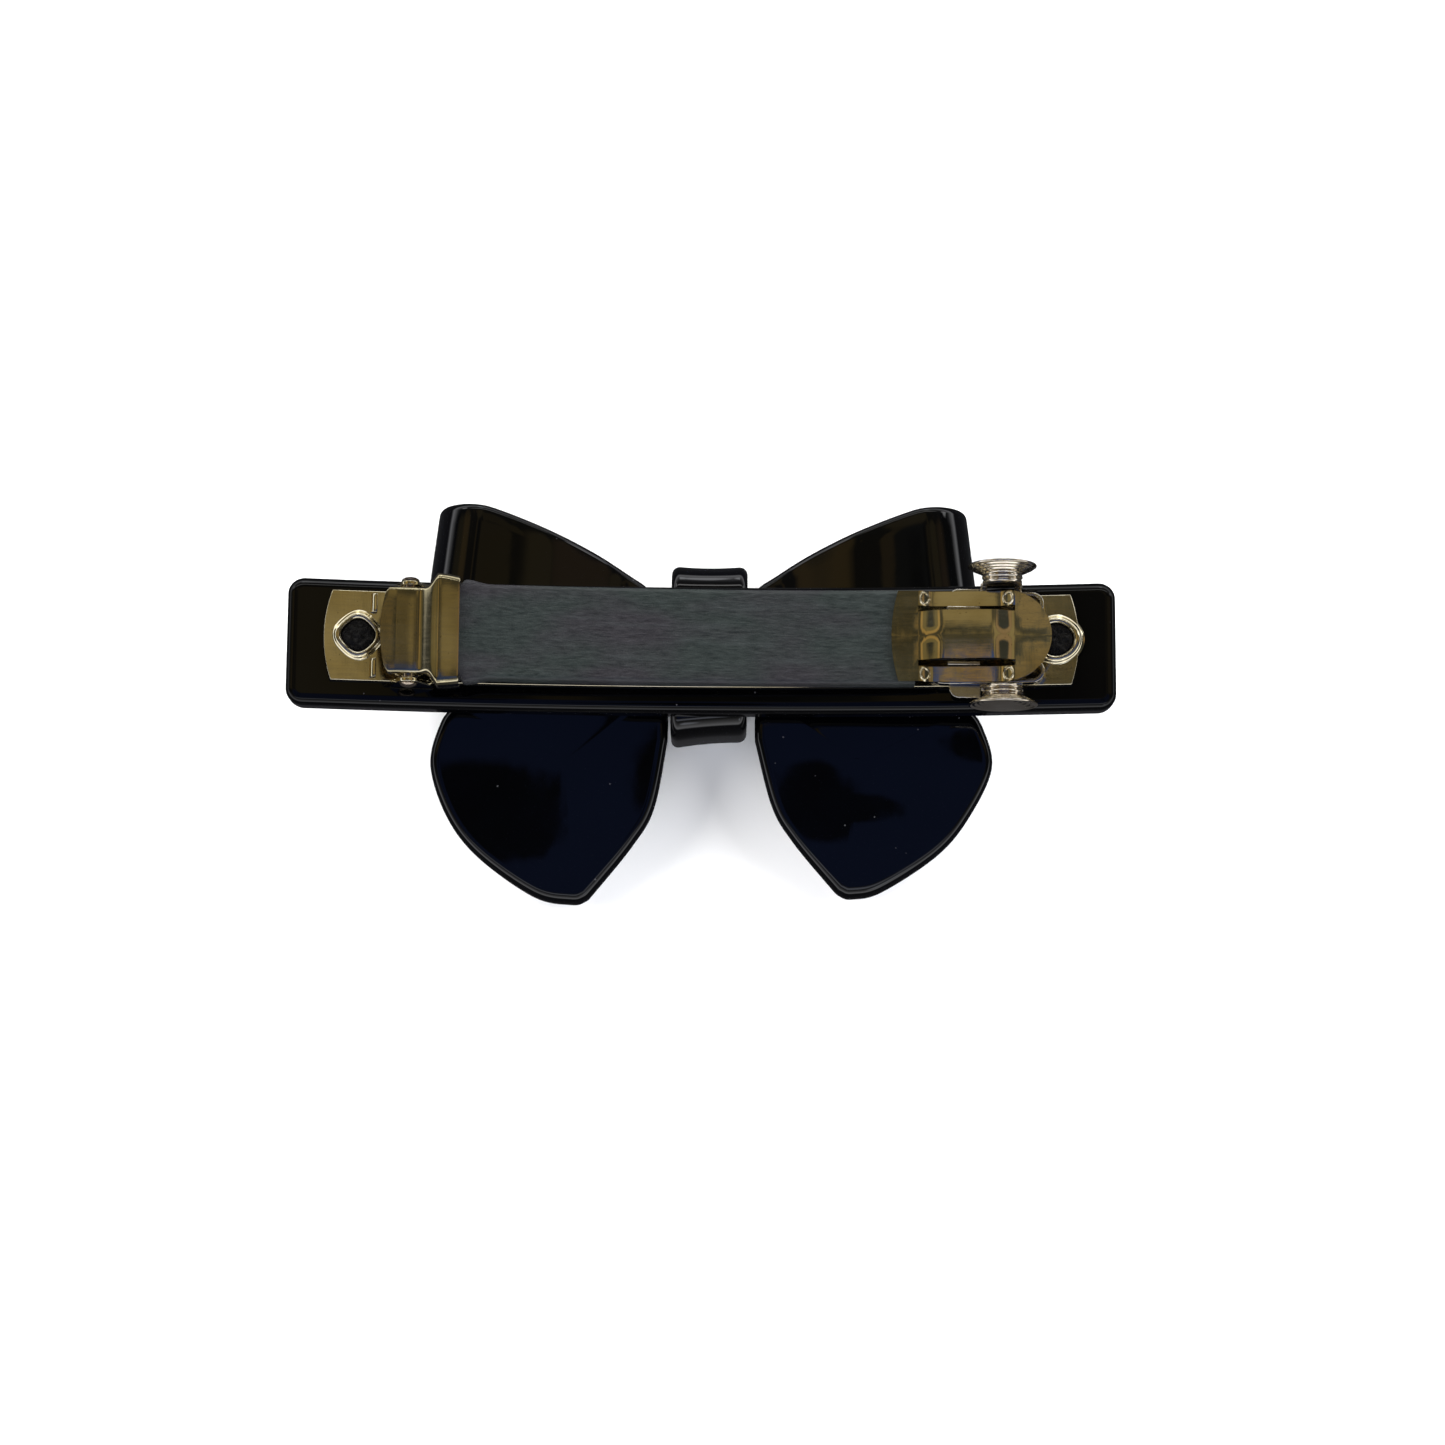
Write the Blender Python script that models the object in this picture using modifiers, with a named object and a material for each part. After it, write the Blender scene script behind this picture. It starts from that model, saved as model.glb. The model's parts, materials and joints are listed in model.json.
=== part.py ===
"""Bow barrette with a sprung metal clasp, lying bow down with its clasp up.

X runs along the bar from the hinge (-X) to the catch (+X), Y across it, and Z is up.
Every length is in metres. MM turns millimetres into metres.
"""

import math

import bmesh
import bpy
from mathutils import Matrix, Vector

MM = 0.001
GAP = 0.1 * MM

# Places in the object's own frame: the centre lines of the bar and of the clasp.
BAR_Y = 4.38 * MM
CLASP_Y = BAR_Y + 0.55 * MM

# Backing bar, bent so that both ends rise.
BAR_LENGTH = 88.1 * MM
BAR_WIDTH = 13.8 * MM
BAR_THICKNESS = 4.0 * MM
BAR_CORNER = 1.8 * MM
BAR_FILLET = 1.2 * MM
BEND_RADIUS = 245 * MM
BAR_FRONT_Z = 11.5 * MM

# Bow: knot band, loops and tails.
SHEET = 2.0 * MM
KNOT_X = 0.8 * MM
KNOT_WIDTH = 8.3 * MM
KNOT_WALL = 2.2 * MM
KNOT_DEPTH = 11.4 * MM
KNOT_LOW_Y = -8.6 * MM
KNOT_HIGH_Y = 10.6 * MM
KNOT_CORNER = 3.6 * MM
KNOT_SLANT = 0.09
LOOP_FOLD_RADIUS = 3.9 * MM
LOOP_REACH = 29.4 * MM
LOOP_LIFT = 0.02 * MM
LOOP_FRONT_LINE = ((0.4, 3.45), (5.6, 3.4), (10, 2.2), (16, 1.1))
LOOP_BACK_LINE = ((17, 8.1), (10, 5.65), (5.6, 5.55), (0.4, 5.55))
LOOP_LOW_Y = (-4.9 * MM, -4.0 * MM)
LOOP_LOW_REACH = 12 * MM
LOOP_SPREAD = 4.0
LOOP_SPREAD_Y = (4 * MM, 16 * MM)
LOOP_TOP_EDGE = (
    (0, 7.9), (5.0, 8.05), (6.6, 9.3), (11.0, 11.9),
    (16.5, 14.3), (22.0, 16.5), (25.0, 17.25), (30.0, 17.5),
)
TAIL_X = 1.1 * MM
TAIL_Z = 7.9 * MM
TAIL_SHEET = 2.2 * MM
TAIL_CURL = 13.9
TAIL_CURL_Y = -7 * MM
TAIL_ROOT_Y = -8.8
TAIL_FILLET = 0.8 * MM
SHEET_EDGE = 0.75 * MM

# Base plate on the bar's back.
PLATE_LENGTH = 80 * MM
PLATE_WIDTH = 9.7 * MM
PLATE_THICKNESS = 0.6 * MM
PLATE_END_BULGE = 0.8 * MM
PLATE_Z = BAR_FRONT_Z + BAR_THICKNESS + GAP
PLATE_TOP = PLATE_Z + PLATE_THICKNESS
COLLAR_X = (-36.4 * MM, 37.6 * MM)
COLLAR_RADIUS = 2.45 * MM
COLLAR_HEIGHT = 0.5 * MM
HOLE_RADIUS = 1.7 * MM
STAKE_RADIUS = 1.5 * MM
STAKE_HEAD_HEIGHT = 0.3 * MM
STAKE_HEAD_INSET = 0.35 * MM
STAKE_HEAD_DOME = 0.18 * MM
STOP_LIP_PROFILE = ((-35.2, -0.3), (-34.35, -0.3), (-34.4, 0.5), (-34.75, 0.6))
STOP_LIP_Y = (2.6 * MM, 4.4 * MM)

# Hinge at the left end. Heights are above the plate's top there.
PIN_X = -30.8 * MM
PIN_HEIGHT = 2.6 * MM
PIN_RADIUS = 0.6 * MM
PIN_HOLE_RADIUS = 0.75 * MM
PIN_HEAD_RADIUS = 0.95 * MM
PIN_HEAD_HEIGHT = 0.45 * MM
EAR_INNER_Y = 4.95 * MM
EAR_THICKNESS = 0.45 * MM
EAR_HEIGHT = 3.7 * MM
EAR_X = (PIN_X - 2.2 * MM, PIN_X + 2.4 * MM)
EAR_SHOULDER = 0.9 * MM
EAR_FOOT_HALF_LENGTH = 1.8 * MM
YOKE_LEFT_X = -33.9 * MM
YOKE_HALF_WIDTH = 4.6 * MM
YOKE_TOP = 4.4 * MM
CHEEK_THICKNESS = 0.45 * MM
CHEEK_HALF_LENGTH = 1.1 * MM
CHEEK_BELOW_PIN = 1.15 * MM
FERRULE_LEFT_X = -28.0 * MM
FERRULE_RIGHT_X = -25.4 * MM
FERRULE_HALF_WIDTH = 5.95 * MM
FERRULE_OVER_ARM = 0.75 * MM

# Arm, tilted a little towards the catch.
ARM_LEFT_X = -27.6 * MM
ARM_RIGHT_X = 22.6 * MM
ARM_HALF_WIDTH = 5.1 * MM
ARM_FLARE = 0.45 * MM
ARM_FLARE_X = (-25.2 * MM, -24.7 * MM, -22.4 * MM)
ARM_THICKNESS = 0.7 * MM
ARM_FLANGE = 1.9 * MM
ARM_HEIGHT = 3.8 * MM
ARM_TILT = -0.037

# Tension bar between plate and arm.
SPRING_LEFT_X = -31.2 * MM
SPRING_RIGHT_X = 21 * MM
SPRING_HALF_WIDTH = 3.4 * MM
SPRING_THICKNESS = 0.35 * MM
SPRING_RISE = 2.1 * MM

# Catch: the cap on the arm, and two sprung legs on the plate.
CAP_LEFT_X = 20.1 * MM
CAP_RIGHT_X = 36.9 * MM
CAP_HALF_WIDTH = 4.85 * MM
CAP_THICKNESS = 0.5 * MM
CAP_OVER_ARM = CAP_THICKNESS + GAP
BRIDGE_HALF_WIDTH = 2.6 * MM
BRIDGE_RISE = 1.1 * MM
RAIL_DROP = 0.5 * MM
SLOT_OUTER_Y = 3.25 * MM
SLOT_LEFT_X = 22.9 * MM
SLOT_RIGHT_X = 33.1 * MM
RAMP = 1.7 * MM
LEG_PIVOT_X = 35.0 * MM
LEG_PIVOT_Y = 3.6 * MM
LEG_LEFT_X = 24.5 * MM
LEG_THICKNESS = 0.4 * MM
LEG_LOW = 0.25 * MM
LEG_HIGH = 1.75 * MM
CURL_RADIUS = 1.05 * MM
HOOK_X = (26.0 * MM, 29.4 * MM)
HOOK_Y = (2.75 * MM, 3.15 * MM)
HOOK_OVER_CAP = 0.15 * MM
HOOK_TAB_Z = (1.25 * MM, 1.6 * MM)
STEM_X = (29.6 * MM, 34.0 * MM)
STEM_OUTER_Y = 5.35 * MM
STEM_Z = (0.75 * MM, 1.75 * MM)
WING_X = (26.3 * MM, 29.6 * MM)
WING_OUTER_Y = {1: 5.45 * MM, -1: 6.3 * MM}
WING_Z = (0.5 * MM, 0.9 * MM)
BRACKET_X = (24.2 * MM, 34.4 * MM)
BRACKET_HALF_WIDTH = 1.9 * MM
BRACKET_THICKNESS = 0.4 * MM
BRACKET_TOP = 0.5 * MM
LUG_X = (33.6 * MM, 34.2 * MM)
LUG_Z = (0.15 * MM, 1.7 * MM)
DISC_X = 31.8 * MM
DISC_HEIGHT = 3.0 * MM
NECK_INNER_Y = 5.45 * MM
DISC_FACE = ((0, 1.55), (1.3, 1.5), (2.5, 1.7), (3.2, 1.93), (3.5, 2.1), (3.65, 2.02))
DISC_FLANK = ((3.65, 1.86), (3.2, 1.62), (2.7, 1.4), (2.3, 1.2))
DISC_NECK = ((2.02, 0.96), (2.15, 0.72), (1.95, 0.48), (2.12, 0.24), (1.98, 0), (0, 0))

# How far a cutter reaches past what it cuts.
CUT_REACH = 8 * MM


# ---------------------------------------------------------------- frame and materials


def rise(x):
    """Height gained by the bent bar at X, over its centre."""
    return BEND_RADIUS - math.sqrt(BEND_RADIUS**2 - x**2)


def plate_top(x):
    return PLATE_TOP + rise(x)


def arm_top(x):
    return plate_top(x) + ARM_HEIGHT + ARM_TILT * x


def cap_top(x):
    return arm_top(x) + CAP_OVER_ARM


def clear_scene():
    for item in list(bpy.data.objects):
        bpy.data.objects.remove(item, do_unlink=True)


def new_collection(name):
    collection = bpy.data.collections.new(name)
    bpy.context.scene.collection.children.link(collection)
    return collection


def new_material(name, color, roughness, metallic):
    material = bpy.data.materials.new(name)
    material.use_nodes = True
    shader = material.node_tree.nodes["Principled BSDF"]
    shader.inputs["Base Color"].default_value = (*color, 1)
    shader.inputs["Roughness"].default_value = roughness
    shader.inputs["Metallic"].default_value = metallic
    return material


clear_scene()
PARTS = new_collection("bow_barrette")
CUTTERS = new_collection("cutters")
COLORS = {
    "acetate": ((0.012, 0.012, 0.014), 0.08, 0),
    "nickel": ((0.72, 0.68, 0.56), 0.12, 1),
    "slate": ((0.10, 0.11, 0.12), 0.45, 0.3),
}


def add_part(name, bm, look):
    """Makes the node from the mesh, with a material of its own."""
    bmesh.ops.recalc_face_normals(bm, faces=bm.faces)
    mesh = bpy.data.meshes.new(name)
    bm.to_mesh(mesh)
    bm.free()
    part = bpy.data.objects.new(name, mesh)
    PARTS.objects.link(part)
    color, roughness, metallic = COLORS[look]
    mesh.materials.append(new_material(name + "_look", color, roughness, metallic))
    mesh.shade_smooth()
    mesh.set_sharp_from_angle(angle=math.radians(40))
    return part


def add_cutter(name, bm):
    bmesh.ops.recalc_face_normals(bm, faces=bm.faces)
    mesh = bpy.data.meshes.new(name)
    bm.to_mesh(mesh)
    bm.free()
    cutter = bpy.data.objects.new(name, mesh)
    cutter.hide_render = True
    cutter.display_type = "WIRE"
    CUTTERS.objects.link(cutter)
    return cutter


# ---------------------------------------------------------------- modelling helpers


def boolean(part, other, operation):
    modifier = part.modifiers.new(operation.lower(), "BOOLEAN")
    modifier.operation = operation
    modifier.object = other
    return modifier


def round_edges(part, width, segments, angle=50):
    modifier = part.modifiers.new("rounded edges", "BEVEL")
    modifier.width = width
    modifier.segments = segments
    modifier.limit_method = "ANGLE"
    modifier.angle_limit = math.radians(angle)
    modifier.use_clamp_overlap = True
    return modifier


def thicken(part, thickness, offset=-1):
    modifier = part.modifiers.new("thickness", "SOLIDIFY")
    modifier.thickness = thickness
    modifier.offset = offset
    modifier.use_even_offset = True
    return modifier


def box(low, high):
    """A closed box between two corners."""
    bm = bmesh.new()
    size = [high[axis] - low[axis] for axis in range(3)]
    centre = [(high[axis] + low[axis]) / 2 for axis in range(3)]
    matrix = Matrix.Translation(centre) @ Matrix.Diagonal((*size, 1))
    bmesh.ops.create_cube(bm, size=1, matrix=matrix)
    return bm


def prism(outline, plane, start, end):
    """Extrudes an outline. plane is 'XY', 'XZ' or 'YZ', start and end lie on the third axis."""
    third = {"XY": 2, "XZ": 1, "YZ": 0}[plane]
    bm = bmesh.new()
    vertices = []
    for point in outline:
        place = [0, 0, 0]
        place["XYZ".index(plane[0])] = point[0]
        place["XYZ".index(plane[1])] = point[1]
        place[third] = start
        vertices.append(bm.verts.new(place))
    face = bm.faces.new(vertices)
    grown = bmesh.ops.extrude_face_region(bm, geom=[face])
    shift = [0, 0, 0]
    shift[third] = end - start
    moved = [item for item in grown["geom"] if isinstance(item, bmesh.types.BMVert)]
    bmesh.ops.translate(bm, verts=moved, vec=shift)
    return bm


def cylinder_y(x, z, radius, low_y, high_y, segments):
    bm = bmesh.new()
    matrix = Matrix.Translation((x, (low_y + high_y) / 2, z)) @ Matrix.Rotation(math.pi / 2, 4, "X")
    bmesh.ops.create_cone(
        bm, cap_ends=True, segments=segments, radius1=radius, radius2=radius,
        depth=high_y - low_y, matrix=matrix,
    )
    return bm


def cylinder_z(x, y, radius, top_radius, low_z, high_z, segments):
    bm = bmesh.new()
    matrix = Matrix.Translation((x, y, (low_z + high_z) / 2))
    bmesh.ops.create_cone(
        bm, cap_ends=True, segments=segments, radius1=radius, radius2=top_radius,
        depth=high_z - low_z, matrix=matrix,
    )
    return bm


def slice_mesh(bm, axis, places):
    """Adds a ring of edges at each place along the axis, so that the mesh can bend."""
    normal = Vector([float(index == axis) for index in range(3)])
    for place in places:
        geometry = bm.verts[:] + bm.edges[:] + bm.faces[:]
        bmesh.ops.bisect_plane(bm, geom=geometry, plane_co=normal * place, plane_no=normal)


def steps(start, end, count):
    return [start + (end - start) * index / (count - 1) for index in range(count)]


def inner_steps(start, end, count):
    return steps(start, end, count + 2)[1:-1]


def arc(centre, radius, start, end, count):
    """Points on a circle, with angles in degrees."""
    return [
        (
            centre[0] + radius * math.cos(math.radians(angle)),
            centre[1] + radius * math.sin(math.radians(angle)),
        )
        for angle in steps(start, end, count)
    ]


def raise_with_bar(bm):
    for vertex in bm.verts:
        vertex.co.z += rise(vertex.co.x)


def move_to_bar(bm):
    bmesh.ops.translate(bm, verts=bm.verts, vec=(0, BAR_Y, 0))


def move_to_clasp(bm):
    bmesh.ops.translate(bm, verts=bm.verts, vec=(0, CLASP_Y, 0))


def mirrored_y(bm):
    bmesh.ops.scale(bm, vec=(1, -1, 1), verts=bm.verts)
    bmesh.ops.reverse_faces(bm, faces=bm.faces)
    return bm


def surface(rows, closed=False):
    """An open grid through rows of points, joined end to start when closed."""
    bm = bmesh.new()
    grid = [[bm.verts.new(point) for point in row] for row in rows]
    if closed:
        grid.append(grid[0])
    for first, second in zip(grid, grid[1:]):
        for index in range(len(first) - 1):
            bm.faces.new((first[index], first[index + 1], second[index + 1], second[index]))
    return bm


def smooth_curve(points, per_span):
    """A smooth line through the points, by Catmull-Rom spans."""
    line = []
    padded = [points[0], *points, points[-1]]
    for index in range(1, len(padded) - 2):
        before, start, end, after = [Vector(point) for point in padded[index - 1:index + 3]]
        for step in range(per_span):
            t = step / per_span
            line.append(
                0.5 * (
                    2 * start + (end - before) * t
                    + (2 * before - 5 * start + 4 * end - after) * t**2
                    + (3 * start - before - 3 * end + after) * t**3
                )
            )
    line.append(Vector(points[-1]))
    return line


# ---------------------------------------------------------------- bow and bar


def make_backing_bar():
    half = Vector((BAR_LENGTH / 2, BAR_WIDTH / 2, 0))
    bm = box((-half.x, -half.y, BAR_FRONT_Z), (half.x, half.y, BAR_FRONT_Z + BAR_THICKNESS))
    upright = [edge for edge in bm.edges if abs(edge.verts[0].co.z - edge.verts[1].co.z) > MM]
    bmesh.ops.bevel(bm, geom=upright, offset=BAR_CORNER, segments=4, affect="EDGES", profile=0.5)
    rim = [
        edge for edge in bm.edges
        if abs(edge.verts[0].co.z - edge.verts[1].co.z) < 1e-7 and len(edge.link_faces) == 2
    ]
    bmesh.ops.bevel(bm, geom=rim, offset=BAR_FILLET, segments=3, affect="EDGES", profile=0.5)
    slice_mesh(bm, 0, steps(-40 * MM, 40 * MM, 13))
    raise_with_bar(bm)
    move_to_bar(bm)
    return add_part("backing_bar", bm, "acetate")


def in_mm(points):
    return [(first * MM, second * MM) for first, second in points]


def loop_centre_line():
    """The folded sheet's middle, as (distance from the bow's middle, Z), front layer first."""
    fold_x = LOOP_REACH - SHEET / 2 - LOOP_FOLD_RADIUS
    low = SHEET / 2 + LOOP_LIFT
    high = low + 2 * LOOP_FOLD_RADIUS
    front = smooth_curve(in_mm(LOOP_FRONT_LINE) + [(fold_x, low)], 3)
    back = smooth_curve([(fold_x, high)] + in_mm(LOOP_BACK_LINE), 3)
    fold = arc((fold_x, low + LOOP_FOLD_RADIUS), LOOP_FOLD_RADIUS, -90, 90, 9)
    return [tuple(point) for point in front[:-1]] + fold + [tuple(point) for point in back[1:]]


def loop_top_edge(x):
    """Straight between the listed places along the sheet."""
    for (start_x, start_y), (end_x, end_y) in zip(LOOP_TOP_EDGE, LOOP_TOP_EDGE[1:]):
        if x <= end_x * MM:
            break
    return (start_y + (end_y - start_y) * (x / MM - start_x) / (end_x - start_x)) * MM


def loop_spread(y):
    """The fold leans: the loop reaches further out towards the bar."""
    widest_y, normal_y = LOOP_SPREAD_Y
    return 1 + LOOP_SPREAD * (normal_y - max(y, widest_y))


def loop_low_edge(x):
    start_y, end_y = LOOP_LOW_Y
    return start_y + (end_y - start_y) * min(1.0, x / LOOP_LOW_REACH)


def make_loop(name, side):
    rows = []
    for x, z in loop_centre_line():
        top = loop_top_edge(x)
        low = loop_low_edge(x)
        rows.append([(side * x * loop_spread(y), y, z) for y in steps(low, top, 3)])
    bm = surface(rows)
    move_to_bar(bm)
    part = add_part(name, bm, "acetate")
    thicken(part, SHEET, 0)
    round_edges(part, SHEET_EDGE, 2)
    return part


def tail_outline(slim, length, trim):
    """A tail about the bow's middle, with its inner edge, length and outer edge altered a little."""
    inner = [(4.75, TAIL_ROOT_Y), (6.6 - slim, -15.9), (8.9 - slim, -19.8), (13.0 - slim, -24.6)]
    tip = [(14.2 - slim, -25.7), (15.6 - slim / 2, -26.0)]
    outer = [(19.4 - trim, -25.2), (25.4 - trim, -21.2), (28.8 - trim, -17.0), (30.6, -11.6), (29.6, -7.2)]
    shoulder = [(28.2, -5.3), (26.4, -4.6)]
    root = [(9.6, -4.6), (6.0, -2.2), (0.3, -1.8), (0.3, -5.0), (4.75, -5.0)]
    leaf = [(x, y + min(0.0, y - TAIL_ROOT_Y) * (length - 1)) for x, y in inner + tip + outer]
    curve = smooth_curve(in_mm(leaf + shoulder), 3)
    return [(point[0], point[1]) for point in curve] + in_mm(root)


def make_tail(name, side, slim, length, trim):
    outline = [(side * x + TAIL_X, y) for x, y in tail_outline(slim, length, trim)]
    bm = prism(outline, "XY", -TAIL_SHEET / 2, TAIL_SHEET / 2)
    rim = [edge for edge in bm.edges if abs(edge.verts[0].co.z - edge.verts[1].co.z) < TAIL_SHEET / 2]
    bmesh.ops.bevel(bm, geom=rim, offset=TAIL_FILLET, segments=2, affect="EDGES", profile=0.5)
    slice_mesh(bm, 1, steps(-24 * MM, -8 * MM, 6))
    for vertex in bm.verts:
        past = max(0.0, TAIL_CURL_Y - vertex.co.y)
        vertex.co.z += TAIL_Z - TAIL_CURL * past**2
    move_to_bar(bm)
    return add_part(name, bm, "acetate")


def make_knot_band():
    """A strip bent into a closed ring round the bow's waist."""
    corner = KNOT_CORNER
    outer = []
    for centre_y, centre_z, start in (
        (KNOT_HIGH_Y - corner, KNOT_DEPTH - corner, 0),
        (KNOT_LOW_Y + corner, KNOT_DEPTH - corner, 90),
        (KNOT_LOW_Y + corner, corner, 180),
        (KNOT_HIGH_Y - corner, corner, 270),
    ):
        outer += arc((centre_y, centre_z), corner, start, start + 90, 6)
    half = KNOT_WIDTH / 2
    rows = [
        [(KNOT_X + x, y + (KNOT_SLANT * x if y < 0 else 0), z) for x in (-half, half)]
        for y, z in outer
    ]
    bm = surface(rows, closed=True)
    bmesh.ops.recalc_face_normals(bm, faces=bm.faces)
    move_to_bar(bm)
    part = add_part("knot_band", bm, "acetate")
    thicken(part, KNOT_WALL)
    round_edges(part, SHEET_EDGE, 2)
    return part


# ---------------------------------------------------------------- base plate and hinge


def plate_outline():
    half_width = PLATE_WIDTH / 2
    bulge = PLATE_END_BULGE
    radius = (half_width**2 + bulge**2) / (2 * bulge)
    sweep = math.degrees(math.asin(half_width / radius))
    centre = PLATE_LENGTH / 2 - radius
    right = arc((centre, 0), radius, -sweep, sweep, 7)
    left = arc((-centre, 0), radius, 180 - sweep, 180 + sweep, 7)
    return right + left


def ear_outline():
    """An ear's side view, round over the pin."""
    base = plate_top(PIN_X)
    pin = base + PIN_HEIGHT
    crown = EAR_HEIGHT - PIN_HEIGHT
    left, right = EAR_X
    head = arc((PIN_X, pin), crown, 30, 150, 7)
    feet = [(left, plate_top(left) - 0.3 * MM), (right, plate_top(right) - 0.3 * MM)]
    shoulder_z = base + EAR_SHOULDER
    inset = 0.2 * MM
    return feet + [(right - inset, shoulder_z)] + head + [(left + inset, shoulder_z)]


def join_mirrored(part, name, make_piece):
    """Joins a piece made for +Y, and its mirror image, to the part."""
    for side in (-1, 1):
        piece = make_piece()
        if side < 0:
            mirrored_y(piece)
        move_to_clasp(piece)
        boolean(part, add_cutter(f"{name}_{side}", piece), "UNION")


def make_ear():
    return prism(ear_outline(), "XZ", EAR_INNER_Y, EAR_INNER_Y + EAR_THICKNESS)


def make_ear_foot():
    inner_y = PLATE_WIDTH / 2 - 0.35 * MM
    outer_y = EAR_INNER_Y + EAR_THICKNESS * 0.6
    bm = box(
        (PIN_X - EAR_FOOT_HALF_LENGTH, inner_y, PLATE_TOP - 0.45 * MM),
        (PIN_X + EAR_FOOT_HALF_LENGTH, outer_y, PLATE_TOP - 0.12 * MM),
    )
    raise_with_bar(bm)
    return bm


def make_stop_lip():
    """A small raised lip in front of the yoke's tail."""
    outline = [(x, PLATE_TOP + z) for x, z in in_mm(STOP_LIP_PROFILE)]
    bm = prism(outline, "XZ", *STOP_LIP_Y)
    raise_with_bar(bm)
    return bm


def make_base_plate():
    bm = prism(plate_outline(), "XY", PLATE_Z, PLATE_TOP)
    slice_mesh(bm, 0, steps(-36 * MM, 36 * MM, 13))
    raise_with_bar(bm)
    move_to_clasp(bm)
    part = add_part("base_plate", bm, "nickel")
    join_mirrored(part, "ear", make_ear)
    join_mirrored(part, "ear_foot", make_ear_foot)
    join_mirrored(part, "stop_lip", make_stop_lip)
    for index, x in enumerate(COLLAR_X):
        collar = cylinder_z(
            x, CLASP_Y, COLLAR_RADIUS, COLLAR_RADIUS - 0.45 * MM,
            PLATE_TOP - 0.3 * MM, PLATE_TOP + COLLAR_HEIGHT, 20,
        )
        raise_with_bar(collar)
        boolean(part, add_cutter(f"collar_{index}", collar), "UNION")
    for index, x in enumerate(COLLAR_X):
        hole = cylinder_z(x, CLASP_Y, HOLE_RADIUS, HOLE_RADIUS, PLATE_Z - MM, PLATE_Z + CUT_REACH, 20)
        boolean(part, add_cutter(f"stake_hole_{index}", hole), "DIFFERENCE")
    boolean(part, add_cutter("pin_hole", make_pin_hole()), "DIFFERENCE")
    return part


def make_pin_hole():
    z = plate_top(PIN_X) + PIN_HEIGHT
    return cylinder_y(PIN_X, z, PIN_HOLE_RADIUS, CLASP_Y - CUT_REACH, CLASP_Y + CUT_REACH, 16)


def make_stake(name, x):
    """A peg melted over in its hole, with a raised middle."""
    bm = cylinder_z(x, CLASP_Y, STAKE_RADIUS, STAKE_RADIUS, PLATE_Z, PLATE_TOP + STAKE_HEAD_HEIGHT, 16)
    top = [face for face in bm.faces if face.normal.z > 0.5]
    bmesh.ops.inset_region(bm, faces=top, thickness=STAKE_HEAD_INSET, depth=STAKE_HEAD_DOME)
    raise_with_bar(bm)
    return add_part(name, bm, "acetate")


def make_hinge_pin():
    """A turned pin with domed heads outside the ears."""
    reach = EAR_INNER_Y + EAR_THICKNESS + 0.08 * MM
    dome = [
        (PIN_RADIUS, reach), (PIN_HEAD_RADIUS, reach), (PIN_HEAD_RADIUS, reach + 0.27 * PIN_HEAD_HEIGHT),
        (0.53 * PIN_HEAD_RADIUS, reach + 0.84 * PIN_HEAD_HEIGHT), (0, reach + PIN_HEAD_HEIGHT),
    ]
    profile = list(reversed(dome)) + [(radius, -height) for radius, height in dome]
    return turned("hinge_pin", profile, (PIN_X, CLASP_Y, plate_top(PIN_X) + PIN_HEIGHT), 14, "nickel")


def turned(name, profile, place, count, look, flip=False):
    """Turns a (radius, height) profile about Z, then lays its axis along Y."""
    bm = bmesh.new()
    vertices = [bm.verts.new((radius, 0, height)) for radius, height in profile]
    for first, second in zip(vertices, vertices[1:]):
        bm.edges.new((first, second))
    mesh = bpy.data.meshes.new(name)
    bm.to_mesh(mesh)
    bm.free()
    part = bpy.data.objects.new(name, mesh)
    PARTS.objects.link(part)
    color, roughness, metallic = COLORS[look]
    mesh.materials.append(new_material(name + "_look", color, roughness, metallic))
    part.location = place
    part.rotation_euler = (math.pi / 2 if flip else -math.pi / 2, 0, 0)
    screw = part.modifiers.new("turned", "SCREW")
    screw.axis = "Z"
    screw.steps = count
    screw.render_steps = count
    screw.use_merge_vertices = True
    screw.merge_threshold = 0.00001
    screw.use_smooth_shade = True
    return part


def channel_row(x, half_width, top, flange, corner, flare=0.0):
    """One cross-section of a folded channel, from one flange's foot to the other's."""
    side = [
        (half_width + flare, top - flange),
        (half_width, top - corner - 0.1 * MM),
        (half_width - corner * 0.3, top - corner * 0.3),
        (half_width - corner, top),
        (half_width * 0.45, top + 0.04 * MM),
    ]
    points = [(x, -y, z) for y, z in side] + [(x, y, z) for y, z in reversed(side)]
    return [(px, py + CLASP_Y, pz) for px, py, pz in points]


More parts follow.
